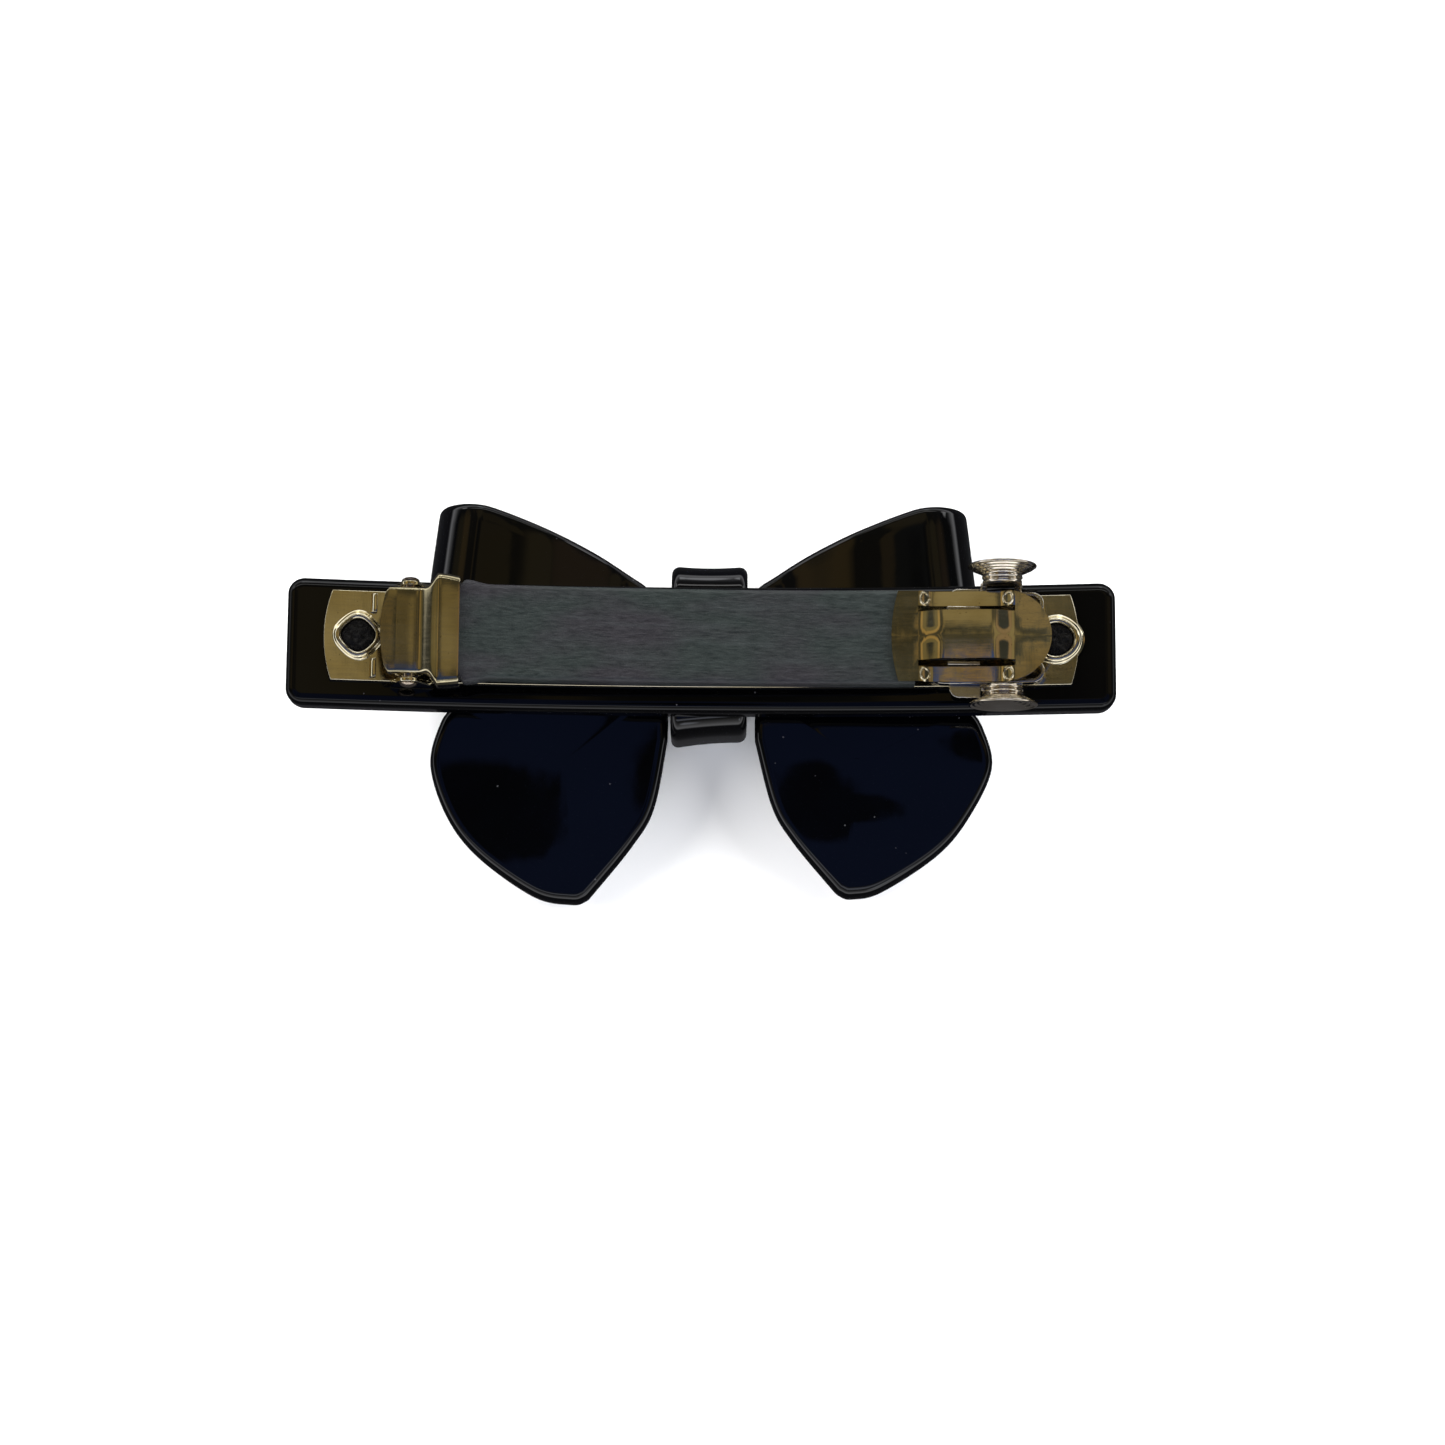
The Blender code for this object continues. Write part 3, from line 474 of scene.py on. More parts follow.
def line_normals(line, closed=False):
    """The left-hand normal at each point of a flat line."""
    normals = []
    count = len(line)
    for index in range(count):
        before = line[(index - 1) % count] if closed else line[max(index - 1, 0)]
        after = line[(index + 1) % count] if closed else line[min(index + 1, count - 1)]
        along = Vector((after[0] - before[0], after[1] - before[1])).normalized()
        normals.append(Vector((-along.y, along.x)))
    return normals


# ---------------------------------------------------------------- bar and bow


def make_bar():
    bm = box(BAR_LOW, (BAR_HIGH.x, BAR_HIGH.y, BAR_LOW.z + BAR_THICKNESS))
    upright = [edge for edge in bm.edges if abs(edge.verts[0].co.z - edge.verts[1].co.z) > MM]
    bmesh.ops.bevel(bm, geom=upright, offset=BAR_CORNER, segments=10, affect="EDGES", profile=0.5)
    rim = [edge for edge in bm.edges if abs(edge.verts[0].co.z - edge.verts[1].co.z) < 1e-7]
    bmesh.ops.bevel(bm, geom=rim, offset=BAR_FILLET, segments=8, affect="EDGES", profile=0.5)
    slice_mesh(bm, 0, steps(BAR_LOW.x + 3 * MM, BAR_HIGH.x - 3 * MM, 56))
    raise_with_bar(bm)
    piece = new_piece("bar_body", bm, BAR_LOOK, "base", ["backing_bar"], 60)
    even_normals(piece)


FULLY_SMOOTH = 70
SHEET = 2.0 * MM
SHEET_FILLET = 0.8 * MM
LOOP_FOLD = 3.9 * MM
LOOP_TOP_EDGE = [
    (0, 7.9), (5.0, 8.05), (6.6, 9.2), (11.0, 11.9),
    (16.5, 14.4), (22.0, 16.5), (25.0, 17.25), (30.0, 17.5),
]


LOOP_LEAN = 4.0
LOOP_LEAN_Y = (4 * MM, 16 * MM)


def loop_spread(y):
    """The fold leans: the loop reaches further out towards the bar."""
    return 1 + LOOP_LEAN * (LOOP_LEAN_Y[1] - max(y, LOOP_LEAN_Y[0]))


LOOP_REACH = LOOP_OUTER_X / loop_spread(0)


def loop_line():
    """The folded sheet's middle, as (distance from the bow's middle, Z), front layer first."""
    fold_x = LOOP_REACH - SHEET / 2 - LOOP_FOLD
    low = SHEET / 2 + 0.02 * MM
    high = low + 2 * LOOP_FOLD
    front = smooth_curve(in_mm([(0.4, 3.45), (5.6, 3.4), (10, 2.2), (16, 1.1)]) + [(fold_x, low)], 10)
    back = smooth_curve([(fold_x, high)] + in_mm([(17, 8.1), (10, 5.65), (5.6, 5.55), (0.4, 5.55)]), 10)
    fold = arc((fold_x, low + LOOP_FOLD), LOOP_FOLD, -90, 90, 33)
    return [tuple(point) for point in front[:-1]] + fold + [tuple(point) for point in back[1:]]


LOOP_TOP_CURVE = smooth_curve(in_mm(LOOP_TOP_EDGE), 12)


def loop_top_edge(x):
    for start, end in zip(LOOP_TOP_CURVE, LOOP_TOP_CURVE[1:]):
        if x <= end.x:
            break
    return start.y + (end.y - start.y) * (x - start.x) / (end.x - start.x)


def loop_low_edge(x):
    return -4.9 * MM + 0.9 * MM * min(1.0, x / (12 * MM))


def make_loop(name, side):
    line = loop_line()
    rows = []
    for (x, z), normal in zip(line, line_normals(line)):
        section = rounded_section(loop_low_edge(x), loop_top_edge(x), SHEET / 2, SHEET_FILLET, 7, 14)
        rows.append([
            (side * (x + normal.x * off) * loop_spread(along), BAR_Y + along, z + normal.y * off)
            for along, off in section
        ])
    bm = grid(rows, close_columns=True, cap=True)
    new_piece(name + "_sheet", bm, BOW_LOOK, "base", [name], FULLY_SMOOTH)


TAIL_REACH = 30.6
TAIL_X = TAIL_OUTER_X - TAIL_REACH * MM
TAIL_SHEET = 2.2 * MM
TAIL_FILLET = 0.95 * MM
TAIL_MIDDLE_Z = 8.15 * MM
TAIL_LEAN = 0.07
TAIL_LEAN_Y = -4.5 * MM
TAIL_CURL = 11
TAIL_CURL_Y = -7 * MM
TAIL_RINGS = [0.04, 0.12, 0.22, 0.34, 0.46, 0.58, 0.7, 0.8, 0.88, 0.94, 0.98]


def tail_height(y):
    """The leaf's middle height: it leans down from its root, then curls to the bow's front."""
    past_root = max(0.0, TAIL_LEAN_Y - y)
    past_bend = max(0.0, TAIL_CURL_Y - y)
    return TAIL_MIDDLE_Z - TAIL_LEAN * past_root - TAIL_CURL * past_bend**2


def tail_outline(slim, length, trim):
    """A tail about the bow's middle, with its inner edge, length and outer edge altered a little."""
    root_y = -8.8
    inner = [(4.75, root_y), (6.6 - slim, -15.9), (8.9 - slim, -19.8), (13.0 - slim, -24.6)]
    tip = [(14.2 - slim, -25.7), (15.6 - slim / 2, -26.0)]
    outer = [(19.4 - trim, -25.2), (25.4 - trim, -21.2), (28.8 - trim, -17.0)]
    outer += [(TAIL_REACH, -11.6), (29.6, -7.2)]
    leaf = [(x, y + min(0.0, y - root_y) * (length - 1)) for x, y in inner + tip + outer]
    shoulder = [(28.2, -5.3), (26.4, -4.6)]
    root = [(18.0, -4.55), (9.6, -4.5), (6.4, -3.4), (5.2, -4.2), (4.75, -6.2), (4.75, root_y)]
    return [tuple(point) for point in smooth_curve(in_mm(leaf + shoulder + root), 8)[:-1]]


def make_tail(name, side, slim, length, trim, hollow):
    """A leaf with a rounded rim and a slightly hollow or domed face, as rings from rim to middle."""
    outline = tail_outline(slim, length, trim)
    inward = line_normals(outline, closed=True)
    centre = Vector((16 * MM, -11 * MM))
    half = TAIL_SHEET / 2

    def ring(inset, shrink, off):
        """The outline moved inwards, then drawn towards the centre. The front is less hollow."""
        dish = hollow * (1 - shrink**2) * (1 if off > 0 else 0.6)
        points = []
        for (x, y), normal in zip(outline, inward):
            flat = centre + (Vector((x, y)) + normal * inset - centre) * shrink
            points.append((side * flat.x + TAIL_X, BAR_Y + flat.y, tail_height(flat.y) + off - dish))
        return points

    rows = [ring(TAIL_FILLET, shrink, -half) for shrink in TAIL_RINGS]
    for degrees in steps(-90, 90, 15):
        angle = math.radians(degrees)
        rows.append(ring(TAIL_FILLET * (1 - math.cos(angle)), 1.0, half * math.sin(angle)))
    rows += [ring(TAIL_FILLET, shrink, half) for shrink in reversed(TAIL_RINGS)]
    bm = grid(rows, close_columns=True, cap=True)
    new_piece(name + "_leaf", bm, BOW_LOOK, "base", [name], FULLY_SMOOTH)


KNOT_HALF_WIDTH = 4.15 * MM
KNOT_X = KNOT_HIGH.x - KNOT_HALF_WIDTH
KNOT_CORNER = 3.6 * MM
KNOT_WALL = 2.2 * MM
KNOT_FILLET = 0.95 * MM
KNOT_DIP = 0.22 * MM
KNOT_SLANT = 0.09
KNOT_SLANT_REACH = 5 * MM
KNOT_LOW_Y = -8.6 * MM


def knot_line():
    """The waist strip's middle as a closed line of (Y from the bar's middle, Z)."""
    low_y, high_y = KNOT_LOW_Y, KNOT_HIGH.y - BAR_Y
    inner_low, inner_high = low_y + KNOT_CORNER, high_y - KNOT_CORNER
    line = []
    for y, z, start, straight_end in (
        (inner_high, KNOT_HIGH.z - KNOT_CORNER, 0, inner_low),
        (inner_low, KNOT_HIGH.z - KNOT_CORNER, 90, None),
        (inner_low, KNOT_LOW.z + KNOT_CORNER, 180, inner_high),
        (inner_high, KNOT_LOW.z + KNOT_CORNER, 270, None),
    ):
        line += arc((y, z), KNOT_CORNER - KNOT_WALL / 2, start, start + 90, 14)
        if straight_end is not None:
            last_y, last_z = line[-1]
            line += [(last_y + (straight_end - last_y) * part, last_z) for part in (0.2, 0.4, 0.6, 0.8)]
    return line


def make_knot():
    """The waist strip: a closed ring whose outer face dips along its middle; its low side slants."""
    section = rounded_section(-KNOT_HALF_WIDTH, KNOT_HALF_WIDTH, KNOT_WALL / 2, KNOT_FILLET, 8, 12)
    line = knot_line()
    rows = []
    for (y, z), normal in zip(line, line_normals(line, closed=True)):
        row = []
        for along, off in section:
            if off < 0:
                off += KNOT_DIP * (1 - (along / KNOT_HALF_WIDTH) ** 2)
            slant = KNOT_SLANT * along * smooth_step(-y / KNOT_SLANT_REACH)
            row.append((KNOT_X + along, BAR_Y + slant + y + normal.x * off, z + normal.y * off))
        rows.append(row)
    bm = grid(rows, close_rows=True, close_columns=True)
    new_piece("knot_strip", bm, BOW_LOOK, "base", ["knot_band"], FULLY_SMOOTH)


# ---------------------------------------------------------------- base plate and hinge

STAKES = {name: box_of(name) for name in ("stake_left", "stake_right")}
STAKE_RADIUS = 1.6 * MM
HOLE_RADIUS = 1.75 * MM
COLLAR_PROFILE = [
    (2.75, -0.08), (2.5, 0.08), (2.25, 0.38), (2.02, 0.5), (1.8, 0.42), (1.66, 0.12), (1.6, -0.5),
]
EAR_CROWN = 1.1 * MM
EAR_LEFT, EAR_RIGHT = PIN.x - 2.2 * MM, PIN.x + 2.4 * MM
EAR_SHOULDER = 0.9 * MM
EAR_FOOT = 0.4 * MM
LIP_X = -34.35 * MM
LIP_RADIUS = 0.72 * MM


def stake_x(name):
    low, high = STAKES[name]
    return (low.x + high.x) / 2


def plate_outline():
    bulge = PLATE_END_BULGE
    radius = (PLATE_HALF_WIDTH**2 + bulge**2) / (2 * bulge)
    sweep = math.degrees(math.asin(PLATE_HALF_WIDTH / radius))
    centre = PLATE_HALF_LENGTH - radius
    right = arc((centre, 0), radius, -sweep, sweep, 25)
    left = arc((-centre, 0), radius, 180 - sweep, 180 + sweep, 25)
    return right + left


def hole_shape(name, angle):
    """How far the collar's hole leaves a circle: squarish at the hinge, drawn to a point at the catch."""
    if name == "stake_left":
        return 1 + 0.045 * math.cos(4 * angle)
    return 1 + 0.13 * max(0.0, math.cos(angle)) ** 3 - 0.03 * math.cos(2 * angle)


def hole_point(name, radius, angle):
    """A point about a stake, before the plate is shifted to the clasp's line."""
    reach = radius * hole_shape(name, angle)
    return stake_x(name) + reach * math.cos(angle), reach * math.sin(angle)


def make_collar(name):
    """A pressed collar: a soft ring that rises from the plate and turns down into its hole."""
    profile = smooth_curve(in_mm(COLLAR_PROFILE), 5)
    rows = []
    for angle in turns(72):
        wave = 0.02 * MM * math.sin(5 * angle + 1.3)
        row = []
        for radius, height in profile:
            x, y = hole_point(name, radius, angle)
            row.append((x, CLASP_Y + y, plate_top(x) + height + wave))
        rows.append(row)
    bm = grid(rows, close_rows=True)
    new_piece(f"collar_{name}", bm, PLATE_LOOK, "base", sharp=80)


def make_stake(name):
    """The melted peg: a lumpy black head inside its collar."""
    rings = 14
    rows = []
    for index in range(1, rings + 1):
        part = index / rings
        row = []
        for angle in turns(48):
            x, y = hole_point(name, STAKE_RADIUS * part, angle)
            y += CLASP_Y
            lump = noise.noise(Vector((x, y, 0)) * 1700) + 0.5 * noise.noise(Vector((x, y, 1)) * 4000)
            height = 0.10 * MM + 0.16 * MM * lump * (1 - part**4) + 0.1 * MM * (1 - part**2)
            row.append((x, y, plate_top(x) + height))
        rows.append(row)
    bm = grid(rows, close_columns=True)
    middle = Vector((stake_x(name), CLASP_Y))
    open_edges = [edge for edge in bm.edges if edge.is_boundary]
    inner = [edge for edge in open_edges if (edge.verts[0].co.xy - middle).length < 0.5 * MM]
    bmesh.ops.contextual_create(bm, geom=inner)
    new_piece(f"{name}_head", bm, MELTED_LOOK, "base", [name], 80)


def make_plate_sheet():
    bm = prism(plate_outline(), "XY", PLATE_TOP - PLATE_THICKNESS, PLATE_TOP)
    holes = []
    for name in STAKES:
        ring = [hole_point(name, HOLE_RADIUS, angle) for angle in turns(40)]
        holes.append(prism(ring, "XY", PLATE_TOP - 2 * MM, PLATE_TOP + MM))
    bm = subtract(bm, holes)
    slice_mesh(bm, 0, steps(-38 * MM, 38 * MM, 39))
    raise_with_bar(bm)
    plate = new_piece("plate_sheet", on_clasp(bm), PLATE_LOOK, "base", ["base_plate"])
    soften(plate, 0.09 * MM, 2)


def plate_part(name, bm, side):
    return new_piece(name, on_clasp(bm, side), PLATE_LOOK, "base")


def ear_outline():
    base = plate_top(PIN.x)
    head = arc((PIN.x, PIN.z), EAR_CROWN, 20, 160, 21)
    foot = [(x, plate_top(x) - EAR_FOOT) for x in (EAR_LEFT, EAR_RIGHT)]
    right_side = [(EAR_RIGHT, base + 0.2 * MM), (EAR_RIGHT - 0.25 * MM, base + EAR_SHOULDER)]
    left_side = [(EAR_LEFT + 0.25 * MM, base + EAR_SHOULDER), (EAR_LEFT, base + 0.2 * MM)]
    return foot + right_side + head + left_side


def make_ear(label, side):
    """The flat ear for the pin, and the rounded bend at its root."""
    bm = prism(ear_outline(), "XZ", EAR_INNER_Y, EAR_INNER_Y + EAR_THICKNESS)
    soften(plate_part(f"ear_{label}", bm, side), 0.1 * MM)
    root = arc((PLATE_HALF_WIDTH - 0.35 * MM, 0.42 * MM), 0.55 * MM, -90, -5, 8)
    rows = []
    for x in steps(PIN.x - 1.9 * MM, PIN.x + 1.9 * MM, 9):
        rows.append([(x, y, plate_top(x) - 0.02 * MM + z + 0.13 * MM) for y, z in root])
    thicken(plate_part(f"ear_bend_{label}", grid(rows), side), 0.3 * MM)


def make_lip(label, side):
    """A small lip turned up beside the yoke's corner."""
    line = arc((LIP_X, plate_top(-34.7 * MM) - 0.1 * MM), LIP_RADIUS, 180, 95, 8)
    rows = [[(x, y, z) for x, z in line] for y in steps(2.5 * MM, 4.5 * MM, 6)]
    lip = plate_part(f"lip_{label}", grid(rows), side)
    thicken(lip, 0.22 * MM, 0)
    soften(lip, 0.05 * MM, 2)


def make_base_plate():
    make_plate_sheet()
    for name in STAKES:
        make_collar(name)
        make_stake(name)
    for label, side in (("lower", -1), ("upper", 1)):
        make_ear(label, side)
        make_lip(label, side)


def turned_rows(profile, place, count):
    """Rows of a profile of (radius, distance along Y) points turned about Y."""
    rows = []
    for angle in turns(count):
        rows.append([
            (place[0] + radius * math.cos(angle), place[1] + along, place[2] + radius * math.sin(angle))
            for radius, along in profile
        ])
    return rows


def make_pin():
    reach = 5.48 * MM
    head = [(0.02, 0.45), (0.3, 0.44), (0.62, 0.36), (0.85, 0.22), (0.95, 0.08), (0.93, 0.0), (0.6, 0.0)]
    upper = [(radius * MM, reach + along * MM) for radius, along in head]
    lower = [(radius, -along) for radius, along in reversed(upper)]
    bm = grid(turned_rows(upper + lower, (PIN.x, CLASP_Y, PIN.z), 40), close_rows=True)
    new_piece("cross_pin", bm, PIN_LOOK, "base", ["hinge_pin"], 40)


def channel_row(x, half_width, top, flange, corner, flare, crown):
    """One cross-section of a folded channel, from one flange's foot to the other's."""
    side = [(half_width + flare, top - flange)]
    side += [(half_width + flare * 0.35, top - corner - (flange - corner) * 0.45)]
    side += arc((half_width - corner, top - corner), corner, 0, 90, 7)
    side += [(half_width * part, top + crown * (1 - part**2)) for part in (0.7, 0.45, 0.2)]
    points = [(x, CLASP_Y - y, z) for y, z in side] + [(x, CLASP_Y, top + crown)]
    return points + [(x, CLASP_Y + y, z) for y, z in reversed(side)]


YOKE_HALF = 4.6 * MM
YOKE_TOP = plate_top(PIN.x) + 4.4 * MM
YOKE_CHEEK = YOKE_TOP - PIN.z + 1.1 * MM
YOKE_BULGE = 0.7 * MM
FERRULE_RIGHT = -25.4 * MM


def yoke_stations():
    """Cross-sections from the tail to the ferrule: X, half width, top, flange, corner and flare."""
    half, top, cheek = YOKE_HALF, YOKE_TOP, YOKE_CHEEK
    high = arm_top(-28.0 * MM) + 0.75 * MM
    end = arm_top(FERRULE_RIGHT) + 0.7 * MM
    tail = [
        (-33.72 * MM, half - 0.6 * MM, top, 0.5 * MM, 0.3 * MM, 0.0),
        (-33.5 * MM, half - 0.2 * MM, top, 0.6 * MM, 0.4 * MM, 0.0),
        (-33.0 * MM, half, top, 0.9 * MM, 0.4 * MM, 0.0),
        (-32.2 * MM, half, top, 1.3 * MM, 0.4 * MM, 0.0),
    ]
    cheeks = [
        (-31.8 * MM, half, top - 0.03 * MM, cheek, 0.4 * MM, 0.0),
        (-30.8 * MM, half, top - 0.14 * MM, cheek, 0.4 * MM, 0.0),
        (-29.9 * MM, half, top - 0.26 * MM, cheek - 0.4 * MM, 0.4 * MM, 0.0),
    ]
    step = [
        (-29.4 * MM, half, top - 0.16 * MM, 1.6 * MM, 0.4 * MM, 0.0),
        (-28.8 * MM, half + 0.1 * MM, top + 0.22 * MM, 1.8 * MM, 0.5 * MM, 0.0),
        (-28.25 * MM, half + 0.7 * MM, high - 0.3 * MM, 2.2 * MM, 0.7 * MM, 0.05 * MM),
    ]
    ferrule = [
        (-27.8 * MM, 5.95 * MM, high - 0.12 * MM, 2.5 * MM, 0.8 * MM, 0.08 * MM),
        (-27.4 * MM, 6.0 * MM, high, 2.6 * MM, 0.8 * MM, 0.08 * MM),
        (-26.4 * MM, 5.9 * MM, (high + end) / 2 + 0.04 * MM, 2.65 * MM, 0.8 * MM, 0.1 * MM),
        (FERRULE_RIGHT, 5.75 * MM, end, 2.7 * MM, 0.8 * MM, 0.12 * MM),
    ]
    return [Vector(station) for station in tail + cheeks + step + ferrule]


def make_yoke():
    """Yoke plate, its cheeks over the pin, the step up and the ferrule round the arm's end."""
    rows = []
    for station in smooth_curve(yoke_stations(), 4):
        lean = smooth_step((-32.6 * MM - station[0]) / (1.3 * MM))
        rows.append([
            (x + YOKE_BULGE * lean * (abs(y - CLASP_Y) / YOKE_HALF) ** 2, y, z)
            for x, y, z in channel_row(*station, crown=0.05 * MM)
        ])
    yoke = new_piece("yoke_sheet", grid(rows), YOKE_LOOK, "arm", ["hinge_yoke"], 50)
    thicken(yoke, 0.4 * MM)
    soften(yoke, 0.07 * MM, 2, 50)


def make_arm():
    """A channel that is a little wider just outside the ferrule."""
    start, widest, end = -25.3 * MM, -24.9 * MM, -22.2 * MM
    rows = []
    for x in [ARM_LEFT, -26.5 * MM] + steps(start, end, 12) + steps(-21.5 * MM, 22.6 * MM, 40):
        widening = smooth_step((x - start) / (widest - start)) * smooth_step((end - x) / (end - widest))
        half_width = ARM_WIDTH / 2 + 0.45 * MM * widening
        rows.append(channel_row(x, half_width, arm_top(x), ARM_FLANGE, 0.55 * MM, flare=0.0, crown=0.0))
    arm = new_piece("arm_channel", grid(rows), ARM_LOOK, "arm", ["arm"], 50)
    thicken(arm, 0.65 * MM)
    soften(arm, 0.12 * MM, 3, 50)


# ---------------------------------------------------------------- catch

CAP_HALF = 4.85 * MM
CAP_END_BULGE = 0.7 * MM
BRIDGE_HALF = 2.6 * MM
BRIDGE_RISE = 1.1 * MM
BRIDGE_CROWN = 0.12 * MM
RAIL_DROP = 0.5 * MM
RAIL_LEAN = 0.07
SLOT_OUTER = 3.25 * MM
SLOT_LEFT = 22.9 * MM
SLOT_RIGHT = 33.1 * MM
RAMP = 2.5 * MM
NOTCH_INSET = 0.75 * MM
NOTCH_PROFILE = [(0.04, -0.2), (0.28, -0.16), (0.45, 0.03), (0.58, 0.12), (0.71, 0.02), (0.8, -0.06)]

CURL_RADIUS = 1.05 * MM
STRIP_Y = LEG_PIVOT.y + CURL_RADIUS
STRIP_THICKNESS = 0.4 * MM
HOOK_X = (26.0 * MM, 29.4 * MM)
HOOK_Y = (2.75 * MM, 3.15 * MM)
TAB_THICKNESS = 0.35 * MM
WING_X = (26.3, 29.6)
WING_ROOT_Y = 4.55
WING_REACH = {1: 5.45, -1: 6.3}
PRONGS_X = ((29.6, 30.3), (33.2, 34.0))

DISC_X = sum(corner.x for corner in box_of("pinch_disc_upper")) / 2
DISC_START = 5.45


def cap_surface(x, y):
    """Height of the cap's outer face: the bridge bows up, the rails dip between their ends."""
    inward = min(x - SLOT_LEFT, SLOT_RIGHT - x)
    ramp = smooth_step(inward / RAMP)
    height = cap_top(x)
    if abs(y) < BRIDGE_HALF + 0.05 * MM:
        height += ramp * (BRIDGE_RISE - BRIDGE_CROWN * (y / BRIDGE_HALF) ** 2)
    elif abs(y) > SLOT_OUTER - 0.05 * MM:
        height -= RAIL_DROP * smooth_step((inward - 0.3 * MM) / (1.2 * MM))
        height -= RAIL_LEAN * (abs(y) - SLOT_OUTER) * ramp
    return height


def make_cap():
    """A stamped plate: raised bridge, two slots, a lowered rail outside each, and a round end."""
    radius = (CAP_HALF**2 + CAP_END_BULGE**2) / (2 * CAP_END_BULGE)
    sweep = math.degrees(math.asin(CAP_HALF / radius))
    left = arc((CAP_LOW.x + radius, 0), radius, 180 - sweep, 180 + sweep, 25)
    right = arc((CAP_HIGH.x - CAP_HALF, 0), CAP_HALF, -90, 90, 49)
    bm = prism(left + right, "XY", -CAP_THICKNESS, 0)
    slots = []
    for side in (-1, 1):
        low_y, high_y = sorted((side * BRIDGE_HALF, side * SLOT_OUTER))
        slots.append(box((SLOT_LEFT, low_y, -MM), (SLOT_RIGHT, high_y, MM)))
    bm = subtract(bm, slots)
    slice_mesh(bm, 0, steps(SLOT_LEFT, SLOT_RIGHT, 37) + [21.4 * MM, 22.2 * MM, 33.9 * MM, 35.2 * MM])
    slice_mesh(bm, 1, [side * part * BRIDGE_HALF for side in (-1, 1) for part in (0.0, 0.35, 0.7, 0.9)])
    for vertex in bm.verts:
        vertex.co.z += cap_surface(vertex.co.x, vertex.co.y)
    cap = new_piece("cap_sheet", on_clasp(bm), CAP_LOOK, "arm", ["catch_cap"], 40)
    soften(cap, 0.1 * MM, 3, 40)
    for row, side in (("lower", -1), ("upper", 1)):
        make_notch(f"cap_notch_left_{row}", SLOT_LEFT + NOTCH_INSET, side)
        make_notch(f"cap_notch_right_{row}", SLOT_RIGHT - NOTCH_INSET, side)


def make_notch(name, x, side):
    """A small oval dent pressed into a rail's end, with a raised rim."""
    y = side * (SLOT_OUTER + CAP_HALF) / 2
    profile = in_mm(smooth_curve(NOTCH_PROFILE, 4))
    rows = []
    for angle in turns(40):
        row = []
        for radius, height in profile:
            px, py = x + 0.8 * radius * math.cos(angle), y + 1.05 * radius * math.sin(angle)
            row.append((px, CLASP_Y + py, cap_surface(px, py) + height + 0.02 * MM))
        rows.append(row)
    new_piece(name, grid(rows, close_rows=True), CAP_LOOK, "arm", sharp=80)


def leg_line():
    """The strip seen from above: beside the rail, then curled back round its pivot."""
    line = smooth_curve([
        (24.5 * MM, STRIP_Y - 0.35 * MM), (25.7 * MM, STRIP_Y), (30 * MM, STRIP_Y), (LEG_PIVOT.x, STRIP_Y)
    ], 5)
    curl = arc((LEG_PIVOT.x, LEG_PIVOT.y), CURL_RADIUS, 90, -110, 29)
    return [tuple(point) for point in line[:-1]] + curl


def make_leg(name, side, body):
    """A curled strip with its hook on a tab, its wing, and two prongs that carry the disc."""
    def leg_part(label, bm, replaced=(), sharp=35):
        mesh = on_clasp(bm, side)
        return new_piece(f"{name}_{label}", mesh, SPRING_LOOK, body, replaced, sharp)

    def leg_sheet(label, rows, replaced, sharp):
        sheet = leg_part(label, grid(rows), replaced, sharp)
        thicken(sheet, STRIP_THICKNESS, 0)
        soften(sheet, 0.08 * MM, 2, 50)

    heights = steps(0.25 * MM, 1.75 * MM, 4)
    leg_sheet("strip", [[(x, y, plate_top(x) + z) for z in heights] for x, y in leg_line()], [name], 50)

    tab_low = plate_top(sum(HOOK_X) / 2) + 1.25 * MM
    low = (HOOK_X[0], HOOK_Y[0], tab_low)
    soften(leg_part("tab", box(low, (HOOK_X[1], STRIP_Y, tab_low + TAB_THICKNESS))), 0.1 * MM)
    soften(leg_part("hook", box(low, (HOOK_X[1], HOOK_Y[1], cap_top(HOOK_X[0]) + 0.15 * MM))), 0.1 * MM)

    reach = WING_REACH[side]
    wing = in_mm([(WING_X[0], WING_ROOT_Y), (WING_X[0], reach - 1.2)])
    wing += arc(((WING_X[0] + 1) * MM, (reach - 1) * MM), MM, 180, 90, 8)
    wing += in_mm([(WING_X[1], reach), (WING_X[1], WING_ROOT_Y)])
    wing_low = plate_top(31 * MM) + 0.5 * MM
    soften(leg_part("wing", prism(wing, "XY", wing_low, wing_low + 0.4 * MM)), 0.09 * MM)

    stem_low = plate_top(34 * MM) + 0.6 * MM
    prong = smooth_curve([
        (STRIP_Y - 0.05 * MM, stem_low + 0.2 * MM), (5.05 * MM, stem_low + 0.2 * MM),
        (5.42 * MM, stem_low + 0.5 * MM), (5.64 * MM, stem_low + 1.1 * MM),
    ], 5)
    for index, (low_x, high_x) in enumerate(PRONGS_X):
        rows = [[(x * MM, y, z) for y, z in prong] for x in steps(low_x, high_x, 4)]
        leg_sheet(f"prong_{index}", rows, (), 60)


def disc_face(radius):
    """The outer face's distance along the axis, with fine rings, in millimetres."""
    return 1.5 + 0.52 * ((radius - 1.2) / 2.15) ** 1.4 + 0.035 * math.sin(radius * 13)


def disc_flank(radius):
    """The same for the flared side towards the clasp."""
    return 1.26 + (radius - 2.4) / 1.1 * 0.52 + 0.045 * math.sin(radius * 15)


